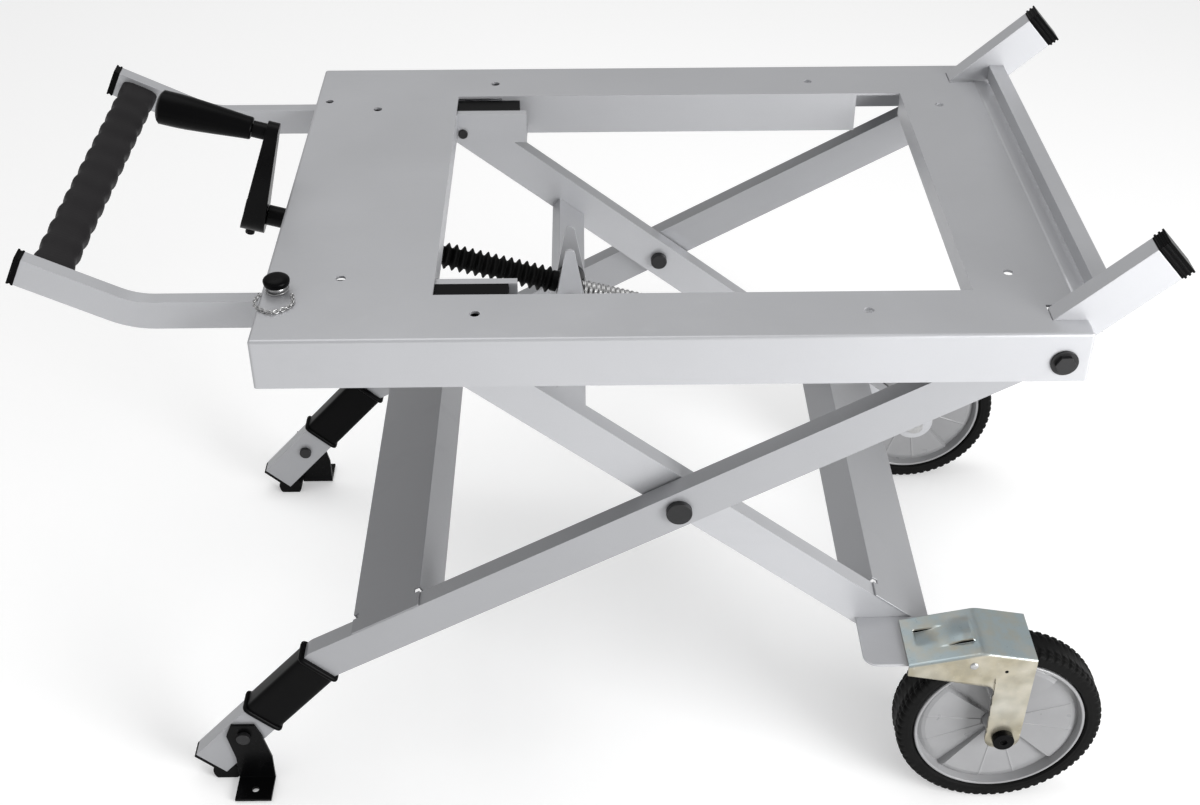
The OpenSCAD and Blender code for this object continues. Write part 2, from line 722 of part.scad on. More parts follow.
// Round slider with its pin, in the rail's channel
module slide_roller(side) color("ivory") at_side(side) on_inner() translate([-inner_up, 0, 0]) {
    y0 = inner_y + tube_w / 2;
    y_rod(bolt_d / 2, y0 - tube_wall, y0 + roller_gap);
    y_rod(roller_r, y0 + roller_gap, y0 + roller_gap + roller_w);
}
module cross_tube() color("silver") on_inner() difference() {
    z = -tube_h / 2;
    box([-cross_at - cross_w / 2, -inner_face, z], [cross_w / 2 - cross_at, inner_face, z + cross_h]);
    box([-cross_at - cross_w / 2 + cross_wall, -inner_face - cut, z + cross_wall],
        [cross_w / 2 - cross_at - cross_wall, inner_face + cut, z + cross_h - cross_wall]);
}
module clevis_ears() color("silver") difference() {
    on_table() at_point(nut) for (s = [near, far]) at_side(s) slab(ear_gap / 2, ear_gap / 2 + ear_t) {
        polygon([
            [-ear_base / 2, -ear_base], [ear_base / 2, -ear_base], [ear_base / 2, -ear_tip],
            [ear_tip, ear_top], [-ear_tip, ear_top], [-ear_base / 2, -ear_tip]
        ]);
        translate([0, ear_top]) circle(r = ear_tip);
    }
    on_inner() box([-inner_up, -ear_gap, -tube_h * 2], [0, ear_gap, cross_h - tube_h / 2]);
    on_table() at_point(nut) y_rod(nut_pin_d / 2, -ear_gap, ear_gap);
}
module fork_plate(side) color("lightsteelblue") at_side(side) {
    y0 = inner_y + tube_w / 2;
    on_inner() difference() {
        slab(y0, y0 + fork_t) {
            translate([inner_low - fork_up, -tube_h / 2]) square([fork_up, tube_h]);
            translate([inner_low, 0]) circle(r = fork_r);
        }
        translate([inner_low, 0, 0]) y_rod(axle_d / 2, y0 - cut, y0 + fork_t + cut);
    }
    on_axle() translate([0, y0, tongue_z]) {
        r = tongue_round;
        box([tongue_x[0] + r, tongue_y[0], 0], [tongue_x[1], tongue_y[1], tongue_t]);
        box([tongue_x[0], tongue_y[0], 0], [tongue_x[1], tongue_y[1] - r, tongue_t]);
        translate([tongue_x[0] + r, tongue_y[1] - r, 0]) cylinder(r = r, h = tongue_t);
    }
}
// Zinc-plated cover over a wheel, with its outer side folded down to the axle
module cover_top(drop) polygon([
    [cover_left[0], cover_left[1] - drop], [cover_ridge[0], cover_ridge[1] - drop],
    [cover_right[0], cover_right[1] - drop], [cover_right[0], cover_right[1]],
    [cover_ridge[0], cover_ridge[1]], [cover_left[0], cover_left[1]]
]);
module wheel_cover(side) color("#c8c4b0") at_side(side) on_axle() {
    y0 = inner_y + tube_w / 2;
    y1 = y0 + cover_y[1];
    slab(y0 + cover_y[0], y1) cover_top(cover_t);
    difference() {
        slab(y1 - cover_t, y1) {
            polygon([
                cover_left, cover_ridge, cover_right, [drop_w / 2, 0], [-drop_w / 2, 0],
                flange_right, flange_mid, flange_left
            ]);
            translate([-drop_w / 2 + drop_r / 3, -drop_r]) square([drop_w - drop_r * 2 / 3, drop_r]);
        }
        y_rod(axle_d / 2, y1 - cover_t - cut, y1 + cut);
        at_point(dimple_at) y_rod(dimple_r, y1 - cover_t - cut, y1 + cut);
    }
    at_point(rivet_at) y_rod(rivet_r, y1, y1 + rivet_h);
    // Lanced bridge on the cover's left slope
    slope = atan2(cover_ridge[1] - cover_left[1], cover_ridge[0] - cover_left[0]);
    at_point(cover_left) rotate([0, -slope, 0]) {
        b0 = bridge_x[0] - cover_left[0];
        b1 = bridge_x[1] - cover_left[0];
        slab(y0 + bridge_y[0], y0 + bridge_y[1])
            polygon([[b0, 0], [b0 + bridge_h, bridge_h / 2], [b1 - bridge_h, bridge_h], [b1, 0]]);
    }
}
module axle_set(side) color("gainsboro") at_side(side) on_axle() {
    y0 = inner_y + tube_w / 2;
    y1 = y0 + cover_y[1];
    y_rod(axle_d / 2, y0 - axle_nut_h, y1 + axle_cap_h / 2);
    y_rod(axle_nut_r, y0 - axle_nut_h, y0);
    difference() {
        y_rod(axle_cap_r, y1, y1 + axle_cap_h);
        y_rod(axle_cap_r / 3, y1 + axle_cap_h * cap_dish_share, y1 + axle_cap_h + cut);
    }
    y_rod(spacer_r, y0 + fork_t, wheel_y - hub_out - free_fit);
    y_rod(spacer_r, wheel_y + hub_out + free_fit, y1 - cover_t);
}
module on_wheel(side) at_side(side) on_axle() translate([0, wheel_y, 0]) rotate([90, 0, 0]) children();
module tyre(side) color("#101010") on_wheel(side) difference() {
    w = tyre_w / 2;
    rotate_extrude($fn = 96) difference() {
        union() {
            translate([rim_r, -w + shoulder]) square([tyre_r - rim_r, tyre_w - 2 * shoulder]);
            translate([rim_r, -w]) square([tyre_r - rim_r - shoulder, tyre_w]);
            for (y = [shoulder - w, w - shoulder]) translate([tyre_r - shoulder, y]) circle(r = shoulder);
        }
        for (y = [-w / 3, w / 3])
            translate([tyre_r - tread_deep, y - groove_w / 2]) square([tread_deep + cut, groove_w]);
    }
    for (i = [0:tread_n - 1], s = [-1, 1]) rotate((i + s / 4) * 360 / tread_n)
        translate([tyre_r - tread_deep, -tread_w / 2, s > 0 ? w - tread_long : -w - cut])
            cube([tread_deep + cut, tread_w, tread_long + cut]);
}
module wheel_disc(side) color("lightgray") on_wheel(side) difference() {
    w = tyre_w / 2 - shoulder / 2;
    union() {
        rotate_extrude($fn = 96) {
            translate([rim_r - rim_t, -w]) square([rim_t, 2 * w]);
            translate([axle_d / 2, -disc_t / 2]) square([rim_r - rim_t - axle_d / 2 + cut, disc_t]);
            translate([0, -hub_out]) square([axle_d / 2 + hub_wall, 2 * hub_out]);
        }
        for (i = [0:vane_n - 1]) rotate(i * 360 / vane_n)
            translate([axle_d / 2 + hub_wall / 2, -vane_t / 2, -w * vane_share])
                cube([rim_r - rim_t - axle_d / 2, vane_t, 2 * w * vane_share]);
    }
    cylinder(d = axle_d + 2 * run_fit, h = tyre_w * 2, center = true);
}

// Nut, bearing, screw and crank
module nut_block() color("dimgray") difference() {
    on_table() at_point(nut) y_rod(nut_block_r, free_fit - ear_gap / 2, ear_gap / 2 - free_fit);
    on_screw() translate([0, 0, -nut_offset])
        x_rod(screw_d / 2 + nut_slack, nut_far - 2 * nut_block_r, nut_far + 2 * nut_block_r);
    for (s = [near, far]) at_side(s) on_table() at_point(nut)
        y_rod(nut_pin_d / 2 + run_fit, ear_gap / 2 - nut_pin_in - cut, ear_gap / 2);
}
module nut_pins() color("#303030") for (s = [near, far]) at_side(s) on_table() at_point(nut) {
    y1 = ear_gap / 2 + ear_t;
    y_rod(nut_pin_d / 2, ear_gap / 2 - nut_pin_in, y1);
    y_rod(nut_pin_d * nut_pin_head_share, y1, y1 + nut_pin_in / 2);
}
module swivel_block() color("dimgray") difference() {
    union() {
        on_screw() x_rod(swivel_r, -swivel_l / 2, swivel_l / 2);
        on_table() at_point(swivel) {
            y1 = swivel_r + swivel_pin / 2 + hanger_t;
            y_rod(swivel_pin_d / 2, -y1, y1);
            y2 = swivel_r + swivel_pin / 2 - free_fit;
            y_rod(swivel_pin_d * swivel_pin_boss_share, -y2, y2);
        }
    }
    on_screw() x_rod(shaft_d / 2 + run_fit, -swivel_l, swivel_l);
}
module lift_screw() color("silver") on_screw() {
    x_rod(shaft_d / 2, -crank_back + arm_hub[1] + run_fit, swivel_l / 2 - run_fit);
    x_rod(screw_d / 2, -crank_back + arm_hub[0], nut_far + screw_over - screw_d / 8);
    translate([nut_far + screw_over - screw_d / 8, 0, 0]) rotate([0, 90, 0])
        cylinder(r1 = screw_d / 2, r2 = screw_d * 3 / 8, h = screw_d / 8);
}
module bellows() color("#242424") on_screw() {
    x0 = swivel_l / 2 + free_fit;
    x1 = nut_far - nut_block_r - free_fit;
    pitch = (x1 - x0 - 2 * bellows_end) / bellows_n;
    translate([x0, 0, 0]) rotate([0, 90, 0]) rotate_extrude($fn = 64) polygon(concat(
        [[bellows_bore, 0], [bellows_root, 0], [bellows_root, bellows_end]],
        [for (i = [0:bellows_n - 1], k = [0, 1]) [
            k == 0 ? bellows_r : bellows_root, bellows_end + pitch * (i + (k + 1) / 2)]],
        [[bellows_root, x1 - x0], [bellows_bore, x1 - x0]]
    ));
}
module on_crank() on_screw() translate([-crank_back, 0, 0]) children();
// Cast arm, as its outline and its side view have in common
module arm_outline() {
    lean = asin((hub_r - tip_r) / crank_r);
    polygon(concat(
        [for (i = [0:arm_steps]) let (a = 180 - lean + (180 + 2 * lean) * i / arm_steps)
            hub_r * [cos(a), sin(a)]],
        [for (i = [0:arm_steps]) let (a = lean + (180 - 2 * lean) * i / arm_steps)
            [0, crank_r] + tip_r * [cos(a), sin(a)]]
    ));
}
module arm_side() {
    z = [-2 * hub_r, crank_r + 2 * tip_r];
    slope = (arm_tip - arm_hub) / crank_r;
    polygon([
        [arm_hub[0] + slope[0] * z[0], z[0]], [arm_hub[1] + slope[1] * z[0], z[0]],
        [arm_hub[1] + slope[1] * z[1], z[1]], [arm_hub[0] + slope[0] * z[1], z[1]]
    ]);
}
module crank_arm() color("#181818") on_crank() difference() {
    union() {
        intersection() {
            rotate([90, 0, 90]) translate([0, 0, -hub_r]) linear_extrude(2 * hub_r) arm_outline();
            slab(-2 * hub_r, 2 * hub_r) arm_side();
        }
        translate([hub_screw_x, 0, -hub_r - hub_screw_h])
            cylinder(r = hub_screw_r, h = hub_screw_h + hub_screw_r);
        translate([0, 0, crank_r]) {
            x_rod(grip_boss_r, free_fit - grip_gap, 0);
            x_rod(spindle_d / 2, grip_cap - grip_l - grip_gap, -grip_boss_r);
        }
    }
    x_rod(screw_d / 2, -2 * hub_r, 2 * hub_r);
    x_rod(hub_nut_r + free_fit, -2 * hub_r, arm_hub[0] + hub_nut_h);
}
module crank_hub_nut() color("gainsboro") on_crank() translate([arm_hub[0], 0, 0]) rotate([0, 90, 0])
    difference() {
        cylinder(r = hub_nut_r, h = hub_nut_h, $fn = 6);
        translate([0, 0, -cut]) cylinder(d = screw_d, h = hub_nut_h + 2 * cut);
    }
module crank_grip() color("#1a1a1a") on_crank() translate([-grip_gap - grip_l, 0, crank_r]) rotate([0, 90, 0])
    difference() {
        rotate_extrude($fn = 64) polygon(concat(
            [[0, 0]], [for (s = grip_dome_shares) [grip_r * s[0], grip_dome * s[1]]],
            [[grip_r, grip_dome]], [for (s = grip_body_shares) [grip_r * s[0], grip_l * s[1]]],
            [[grip_neck, grip_l - grip_round], [grip_neck - grip_round, grip_l], [0, grip_l]]
        ));
        translate([0, 0, grip_cap]) cylinder(r = spindle_d / 2 + run_fit, h = grip_l);
    }

// Pull handle
// At the far end of the handle's bend, +Z along the end stretch
module on_bar_end() on_table() translate([-bar_out, 0, bar_z + bar_bend]) rotate([0, bar_angle, 0])
    translate([0, 0, -bar_bend]) rotate([0, -90, 0]) children();
module bar_side(inset) {
    h = bar_h / 2 - inset;
    over = inset > 0 ? cut : 0;
    c = [-bar_out, bar_z + bar_bend];
    end = c - (bar_end + over) * [cos(bar_angle), -sin(bar_angle)];
    down = [-sin(bar_angle), -cos(bar_angle)];
    polygon(concat(
        [[bar_in_end + over, bar_z - h], [bar_in_end + over, bar_z + h]],
        arc(c, bar_bend - h, -90, -90 - bar_angle),
        [end + (bar_bend - h) * down, end + (bar_bend + h) * down],
        arc(c, bar_bend + h, -90 - bar_angle, -90)));
}
module handle_tube(side) color("silver") on_table() at_side(side) difference() {
    slab(bar_y - bar_w / 2, bar_y + bar_w / 2) bar_side(0);
    slab(bar_y - bar_w / 2 + bar_wall, bar_y + bar_w / 2 - bar_wall) bar_side(bar_wall);
    // Slot that the lock pin stands in
    translate([0, bar_y, bar_z - bar_h]) {
        for (x = [pin_x, pin_x + pin_slot]) translate([x, 0, 0])
            cylinder(d = pin_d + 2 * run_fit, h = 2 * bar_h);
        box([pin_x, -pin_d / 2 - run_fit, 0], [pin_x + pin_slot, pin_d / 2 + run_fit, 2 * bar_h]);
    }
}
module handle_grip() color("#3a3a3a") on_bar_end() {
    y = bar_y - bar_w / 2;
    pitch = 2 * y / (scallop_n + 1);
    translate([0, 0, bar_end - grip_back - grip_w]) difference() {
        box([-grip_t / 2, -y, 0], [grip_t / 2, y, grip_w]);
        for (i = [0:scallop_n - 1], z = [0, grip_w])
            translate([0, -y + pitch * (i + 1), z]) rotate([0, 90, 0])
                scale([scallop_deep / pitch * 2, 1, 1])
                    cylinder(d = pitch * scallop_share, h = grip_t * 2, center = true);
    }
}
module handle_caps() color("#161616") for (s = [near, far]) at_side(s) translate([0, bar_y, 0]) on_bar_end()
    translate([0, 0, bar_end]) {
        for (i = [0:2]) translate([0, 0, bar_cap * i / 3])
            linear_extrude(bar_cap / 3) rotate(90) bar_outline(i == 1 ? 0 : bar_cap_lip);
        translate([0, 0, -bar_cap]) linear_extrude(bar_cap) rotate(90) bar_outline(-bar_wall);
    }
// Lock pin with its collar, ring and knob
module lock_pin() on_table() translate([pin_x, -bar_y, 0]) {
    color("gainsboro") {
        translate([0, 0, -pin_low]) cylinder(d = pin_d, h = pin_low);
        cylinder(r = collar_r, h = collar_h);
    }
    color("#181818") translate([0, 0, collar_h]) {
        cylinder(r = knob_r * knob_waist_share, h = knob_h * knob_shares[0]);
        translate([0, 0, knob_h * knob_shares[0]])
            cylinder(r = knob_r, h = knob_h * (knob_shares[1] - knob_shares[0]));
        translate([0, 0, knob_h * knob_shares[1]])
            cylinder(r = knob_r * knob_crown_share, h = knob_h * (1 - knob_shares[1]));
    }
}
// Fine chain from the pin's collar to the small hole beside it
module link() {
    for (x = [-1, 1]) translate([x * (link_l - link_w) / 2, 0, 0]) rotate(x < 0 ? 90 : -90)
        rotate_extrude(angle = 180, $fn = 16) translate([link_w / 2, 0]) circle(r = link_wire);
    for (y = [-1, 1]) translate([0, y * link_w / 2, 0])
        x_rod(link_wire, (link_w - link_l) / 2, (link_l - link_w) / 2);
}
module pin_chain() color("silver") on_table() {
    lift = link_w / 2 + link_wire;
    translate([pin_x, -bar_y - collar_r, lift]) rotate(-90)
        for (i = [0:link_n - 1])
            translate([link_start + link_step * i, 0, 0]) rotate([i % 2 * 90, 0, 0]) link();
}

table_top();
rail(near);  // rail_near
rail(far);  // rail_far
guide(near);  // guide_near
guide(far);  // guide_far
guide_blocks(near);  // guide_blocks_near
guide_blocks(far);  // guide_blocks_far
guide_bolts();
arm(near);  // arm_near
arm(far);  // arm_far
arm_caps();
arm_cross_bar();
bearing_hanger();
table_pivot_bolts();
outer_leg(near);  // outer_leg_near
outer_leg(far);  // outer_leg_far
outer_crossmember();
centre_bolts();
foot_sleeve(near);  // foot_sleeve_near
foot_sleeve(far);  // foot_sleeve_far
foot_pad(near);  // foot_pad_near
foot_pad(far);  // foot_pad_far
foot_bolts();
foot_bracket(near);  // foot_bracket_near
foot_bracket(far);  // foot_bracket_far
inner_leg(near);  // inner_leg_near
inner_leg(far);  // inner_leg_far
inner_crossmember();
cross_tube();
clevis_ears();
slide_roller(near);  // slide_roller_near
slide_roller(far);  // slide_roller_far
fork_plate(near);  // fork_plate_near
fork_plate(far);  // fork_plate_far
wheel_cover(near);  // wheel_cover_near
wheel_cover(far);  // wheel_cover_far
axle_set(near);  // axle_near
axle_set(far);  // axle_far
tyre(near);  // tyre_near
tyre(far);  // tyre_far
wheel_disc(near);  // wheel_disc_near
wheel_disc(far);  // wheel_disc_far
nut_block();
nut_pins();
swivel_block();
lift_screw();
bellows();
crank_arm();
crank_hub_nut();
crank_grip();
handle_tube(near);  // handle_tube_near
handle_tube(far);  // handle_tube_far
handle_grip();
handle_caps();
lock_pin();
pin_chain();
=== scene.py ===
"""Looks of the rolling saw stand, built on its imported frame.

Each sub-assembly is a class that makes its own pieces and finishes. Rigid sheet and tube pieces are
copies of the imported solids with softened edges; round and wound pieces are parametric surfaces.
All lengths are in metres, in the frame's own coordinates.
"""
import json
import logging
import math
from dataclasses import dataclass, field
from enum import Enum
from typing import Any, Sequence

import bmesh
import bpy
import numpy as np
from mathutils import Matrix, Vector

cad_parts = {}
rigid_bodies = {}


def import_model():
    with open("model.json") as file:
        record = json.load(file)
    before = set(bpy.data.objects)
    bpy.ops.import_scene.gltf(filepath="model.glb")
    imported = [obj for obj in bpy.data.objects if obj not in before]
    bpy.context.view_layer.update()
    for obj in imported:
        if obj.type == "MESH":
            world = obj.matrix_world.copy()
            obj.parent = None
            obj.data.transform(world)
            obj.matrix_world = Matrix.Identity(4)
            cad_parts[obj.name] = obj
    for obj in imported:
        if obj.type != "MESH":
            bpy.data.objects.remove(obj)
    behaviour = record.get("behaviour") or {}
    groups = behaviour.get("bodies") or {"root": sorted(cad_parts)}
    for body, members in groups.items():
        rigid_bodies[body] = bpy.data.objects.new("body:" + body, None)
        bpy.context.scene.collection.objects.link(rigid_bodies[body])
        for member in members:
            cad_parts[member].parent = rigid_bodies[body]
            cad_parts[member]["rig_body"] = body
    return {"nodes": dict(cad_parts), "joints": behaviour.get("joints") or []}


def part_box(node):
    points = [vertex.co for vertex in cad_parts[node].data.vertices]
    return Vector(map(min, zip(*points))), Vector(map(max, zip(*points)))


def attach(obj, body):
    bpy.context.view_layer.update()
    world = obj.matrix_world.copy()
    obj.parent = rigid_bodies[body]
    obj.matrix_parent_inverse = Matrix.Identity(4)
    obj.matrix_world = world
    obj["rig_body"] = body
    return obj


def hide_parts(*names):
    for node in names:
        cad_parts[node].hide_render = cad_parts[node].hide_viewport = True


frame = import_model()
log = logging.getLogger("stand")

MM = 0.001
Z_AXIS = np.array([0.0, 0.0, 1.0])
IMAGE_SIZE = (1200, 805)

# Corners nearer than MERGE become one. Edges flatter than FLAT_ANGLE are dissolved, and edges sharper
# than SHARP_ANGLE are rounded; both are in degrees.
MERGE = 0.01 * MM
FLAT_ANGLE = 1
SHARP_ANGLE = 40
# Radius at which a round piece is closed at its pole
POLE = 0.02 * MM

Color = tuple[float, float, float]


# Shader graph

class Value:
    """One socket of a shader graph, with arithmetic that adds Math nodes."""

    def __init__(self, graph: "Graph", socket: bpy.types.NodeSocket) -> None:
        """Wraps a socket of a graph."""
        self.graph = graph
        self.socket = socket

    def __add__(self, other: "Source") -> "Value":
        """The sum."""
        return self.graph.math("ADD", self, other)

    __radd__ = __add__

    def __sub__(self, other: "Source") -> "Value":
        """The difference."""
        return self.graph.math("SUBTRACT", self, other)

    def __rsub__(self, other: "Source") -> "Value":
        """The difference from a plain number or a socket."""
        return self.graph.math("SUBTRACT", other, self)

    def __mul__(self, other: "Source") -> "Value":
        """The product."""
        return self.graph.math("MULTIPLY", self, other)

    __rmul__ = __mul__

    def above(self, low: float, high: float) -> "Value":
        """Returns 0 below low, 1 above high and a straight ramp between.

        Args:
            low: Where the ramp starts.
            high: Where the ramp ends.

        Returns:
            The ramp as a new value.
        """
        node = self.graph.node("ShaderNodeMapRange", {}, {"Value": self, "From Min": low, "From Max": high})
        return Value(self.graph, node.outputs["Result"])


Source = Value | bpy.types.NodeSocket | float | tuple


class Graph:
    """The node graph of one material, around one Principled shader."""

    def __init__(self, name: str) -> None:
        """Starts a new material.

        Args:
            name: The material's name.
        """
        self.material = bpy.data.materials.new(name)
        self.material.use_nodes = True
        self.tree = self.material.node_tree
        self.shader = self.tree.nodes["Principled BSDF"]
        self.coord = self.node("ShaderNodeTexCoord", {}, {}).outputs["Object"]

    def feed(self, source: Source, target: bpy.types.NodeSocket) -> None:
        """Links a value or socket to an input, or sets a plain number or colour on it.

        Args:
            source: The value, socket, number or colour.
            target: The input.
        """
        if isinstance(source, (Value, bpy.types.NodeSocket)):
            self.tree.links.new(getattr(source, "socket", source), target)
        else:
            target.default_value = source

    def node(self, kind: str, settings: dict[str, Any], inputs: dict[str | int, Source]) -> bpy.types.Node:
        """Adds a node.

        Args:
            kind: The node's type.
            settings: Its settings, which are set first.
            inputs: What its sockets take, by name or number.

        Returns:
            The node.
        """
        node = self.tree.nodes.new(kind)
        for key, value in settings.items():
            setattr(node, key, value)
        for key, value in inputs.items():
            self.feed(value, node.inputs[key])
        return node

    def math(self, operation: str, *terms: Source) -> Value:
        """Adds a Math node.

        Args:
            operation: What it does.
            terms: What its inputs take, in order.

        Returns:
            The result as a new value.
        """
        node = self.node("ShaderNodeMath", {"operation": operation}, dict(enumerate(terms)))
        return Value(self, node.outputs[0])

    def place(self, stretch: tuple[float, float, float] = (1, 1, 1)) -> bpy.types.NodeSocket:
        """Object coordinates, stretched along the axes."""
        return self.node("ShaderNodeMapping", {}, {"Vector": self.coord, "Scale": stretch}).outputs["Vector"]

    def noise(self, size: float, detail: float = 3.0, rough: float = 0.55,
              stretch: tuple[float, float, float] = (1, 1, 1)) -> Value:
        """Cloudy noise from 0 to 1.

        Args:
            size: Width of a typical blotch, in metres.
            detail: Number of finer layers.
            rough: Weight of the finer layers.
            stretch: Scale of the coordinates along each axis.

        Returns:
            The noise as a value.
        """
        inputs = {"Vector": self.place(stretch), "Scale": 1 / size, "Detail": detail, "Roughness": rough}
        return Value(self, self.node("ShaderNodeTexNoise", {}, inputs).outputs["Fac"])

    def cells(self, size: float) -> Value:
        """Distance to the nearest cell centre, for flecks and grain."""
        inputs = {"Vector": self.place(), "Scale": 1 / size}
        return Value(self, self.node("ShaderNodeTexVoronoi", {}, inputs).outputs["Distance"])

    def facing(self, axis: int) -> Value:
        """How far the surface faces along an axis, from -1 to 1."""
        normal = self.node("ShaderNodeNewGeometry", {}, {}).outputs["Normal"]
        return Value(self, self.node("ShaderNodeSeparateXYZ", {}, {"Vector": normal}).outputs[axis])

    def blend(self, share: Value, low: Source, high: Source) -> bpy.types.NodeSocket:
        """Mixes two colours.

        Args:
            share: 0 for the first colour and 1 for the second.
            low: The first colour, plain or a socket.
            high: The second colour, plain or a socket.

        Returns:
            The mixed colour's socket.
        """
        pair = [(*c, 1) if isinstance(c, tuple) else c for c in (low, high)]
        node = self.node("ShaderNodeMix", {"data_type": "RGBA"}, {0: share, 6: pair[0], 7: pair[1]})
        return node.outputs[2]

    def bump(self, height: Value, depth: float) -> None:
        """Feeds a height to the shader's normal; depth is in metres."""
        node = self.node("ShaderNodeBump", {}, {"Strength": 1.0, "Distance": depth, "Height": height})
        self.feed(node.outputs["Normal"], self.shader.inputs["Normal"])

    def dress(self, **inputs: Source) -> None:
        """Feeds the shader's sockets by name, with spaces written as underscores."""
        for key, source in inputs.items():
            self.feed(source, self.shader.inputs[key.replace("_", " ")])


def shade(color: Color, factor: float) -> Color:
    """Returns a colour made lighter or darker by a factor."""
    return tuple(min(1.0, c * factor) for c in color)


@dataclass(frozen=True)
class Finish:
    """A surface finish; its subclasses add what their material shows."""

    name: str
    slot: str
    color: Color
    rough: float

    def draw(self, g: Graph) -> None:
        """Adds the finish's own nodes to a graph."""
        raise NotImplementedError

    def build(self) -> bpy.types.Material:
        """Makes the material at the first call, under a name apart from the frame's own.

        Returns:
            The material, the same one at every call.
        """
        title = f"{self.name}_finish"
        known = bpy.data.materials.get(title)
        if known:
            return known
        g = Graph(title)
        self.draw(g)
        log.info("finish %s", self.name)
        return g.material


@dataclass(frozen=True)
class PowderCoat(Finish):
    """Satin powder coat with orange peel, fine flake, faint dust and rubbed patches."""

    metallic: float = 0.45
    cloud: float = 120 * MM
    fleck: float = 1.1 * MM
    rub: float = 20 * MM
    smear: float = 50 * MM
    peel: float = 2.2 * MM
    fine_peel: float = 0.7 * MM
    peel_depth: float = 0.02 * MM
    dust_share: float = 0.12
    smear_share: float = 0.08
    flake_share: float = 0.05

    def draw(self, g: Graph) -> None:
        """Clouds the paint, then lays rubs, smears and flakes over it.

        Args:
            g: The material's graph.
        """
        cloud = g.noise(self.cloud, 4)
        fleck = g.cells(self.fleck).above(0.1, 0.5)
        rub = g.noise(self.rub, 6, 0.65, (1, 1, 6)).above(0.60, 0.78)
        smear = g.noise(self.smear, 5, 0.7, (0.3, 1, 1)).above(0.55, 0.75)
        base = g.blend(cloud, shade(self.color, 0.94), shade(self.color, 1.05))
        base = g.blend(rub * self.dust_share, base, shade(self.color, 1.3))
        base = g.blend(smear * self.smear_share, base, shade(self.color, 0.72))
        base = g.blend(fleck * self.flake_share, base, shade(self.color, 1.5))
        rough = cloud * 0.12 + (self.rough - 0.06) + rub * 0.10 + smear * 0.06
        g.dress(Base_Color=base, Metallic=self.metallic, Roughness=rough)
        g.bump(g.noise(self.peel, 2, 0.5) + g.noise(self.fine_peel, 1) * 0.4, self.peel_depth)


@dataclass(frozen=True)
class ZincPlate(Finish):
    """Passivated zinc: yellowish at the sides, painted lighter and bluish on top as painted light from above,
    with clouds, rolling lines and scuffs.
    """

    # The top colour is painted light: upward faces are lighter and bluer than the sides.
    top: Color = (0.42, 0.495, 0.515)
    tint: Color = (0.50, 0.43, 0.29)
    pale: Color = (0.62, 0.64, 0.64)
    metallic: float = 0.8
    cloud: float = 20 * MM
    drift: float = 40 * MM
    rolled: float = 1.1 * MM
    scuff: float = 6 * MM
    line_depth: float = 0.012 * MM

    def draw(self, g: Graph) -> None:
        """Gives faces that turn upward a lighter, bluer colour as painted light from above, then adds clouds,
        pale drifts and scuffs.

        Args:
            g: The material's graph.
        """
        cloud = g.noise(self.cloud, 5, 0.6)
        drift = g.noise(self.drift, 2)
        rolled = g.noise(self.rolled, 3, 0.6, (0.06, 1, 1))
        scuff = g.noise(self.scuff, 6, 0.7, (1, 0.25, 1)).above(0.62, 0.80)
        # Painted light: upward faces take the lighter, bluer top colour, for light falling from above.
        top_light_share = g.facing(2).above(0.2, 0.8)
        base = g.blend(top_light_share, self.color, self.top)
        base = g.blend(cloud.above(0.42, 0.70) * 0.6, base, self.tint)
        base = g.blend(drift.above(0.45, 0.75) * 0.4, base, self.pale)
        base = g.blend(scuff * 0.3, base, shade(self.pale, 1.5))
        rough = rolled * 0.16 + (self.rough - 0.08) + scuff * 0.12 + cloud * 0.06
        g.dress(Base_Color=base, Metallic=self.metallic, Roughness=rough)
        g.bump(rolled + cloud * 0.5, self.line_depth)


@dataclass(frozen=True)
class BareSteel(Finish):
    """Turned or plated steel with fine tool marks and darker stains."""

    metallic: float = 0.9
    stain: float = 8 * MM
    scratch: float = 1.5 * MM
    mark: float = 0.6 * MM
    mark_depth: float = 0.01 * MM

    def draw(self, g: Graph) -> None:
        """Darkens the metal by stains and lightens it by fine scratches.

        Args:
            g: The material's graph.
        """
        stain = g.noise(self.stain, 4, 0.6)
        fine = g.noise(self.scratch, 5, 0.65).above(0.5, 0.8)
        base = g.blend(stain.above(0.35, 0.75), self.color, shade(self.color, 0.66))
        base = g.blend(fine * 0.2, base, shade(self.color, 1.3))
        g.dress(Base_Color=base, Metallic=self.metallic, Roughness=stain * 0.18 + (self.rough - 0.08))
        g.bump(g.noise(self.mark, 3, 0.6), self.mark_depth)


@dataclass(frozen=True)
class Moulded(Finish):
    """Injection-moulded plastic with a fine spark grain and handling marks."""

    grain: float = 0.5 * MM
    depth: float = 0.02 * MM
    shine: float = 0.3
    cloud: float = 30 * MM
    scratch: float = 3 * MM

    def draw(self, g: Graph) -> None:
        """Clouds the plastic and lays pale scratches over it.

        Args:
            g: The material's graph.
        """
        cloud = g.noise(self.cloud, 3)
        scratch = g.noise(self.scratch, 5, 0.75, (1, 8, 1)).above(0.66, 0.80)
        base = g.blend(cloud, shade(self.color, 0.88), shade(self.color, 1.12))
        base = g.blend(scratch * 0.25, base, shade(self.color, 1.9))
        rough = cloud * 0.14 + (self.rough - 0.07) + scratch * 0.1
        g.dress(Base_Color=base, Roughness=rough, Specular_IOR_Level=self.shine)
        g.bump(g.noise(self.grain, 3, 0.6), self.depth)


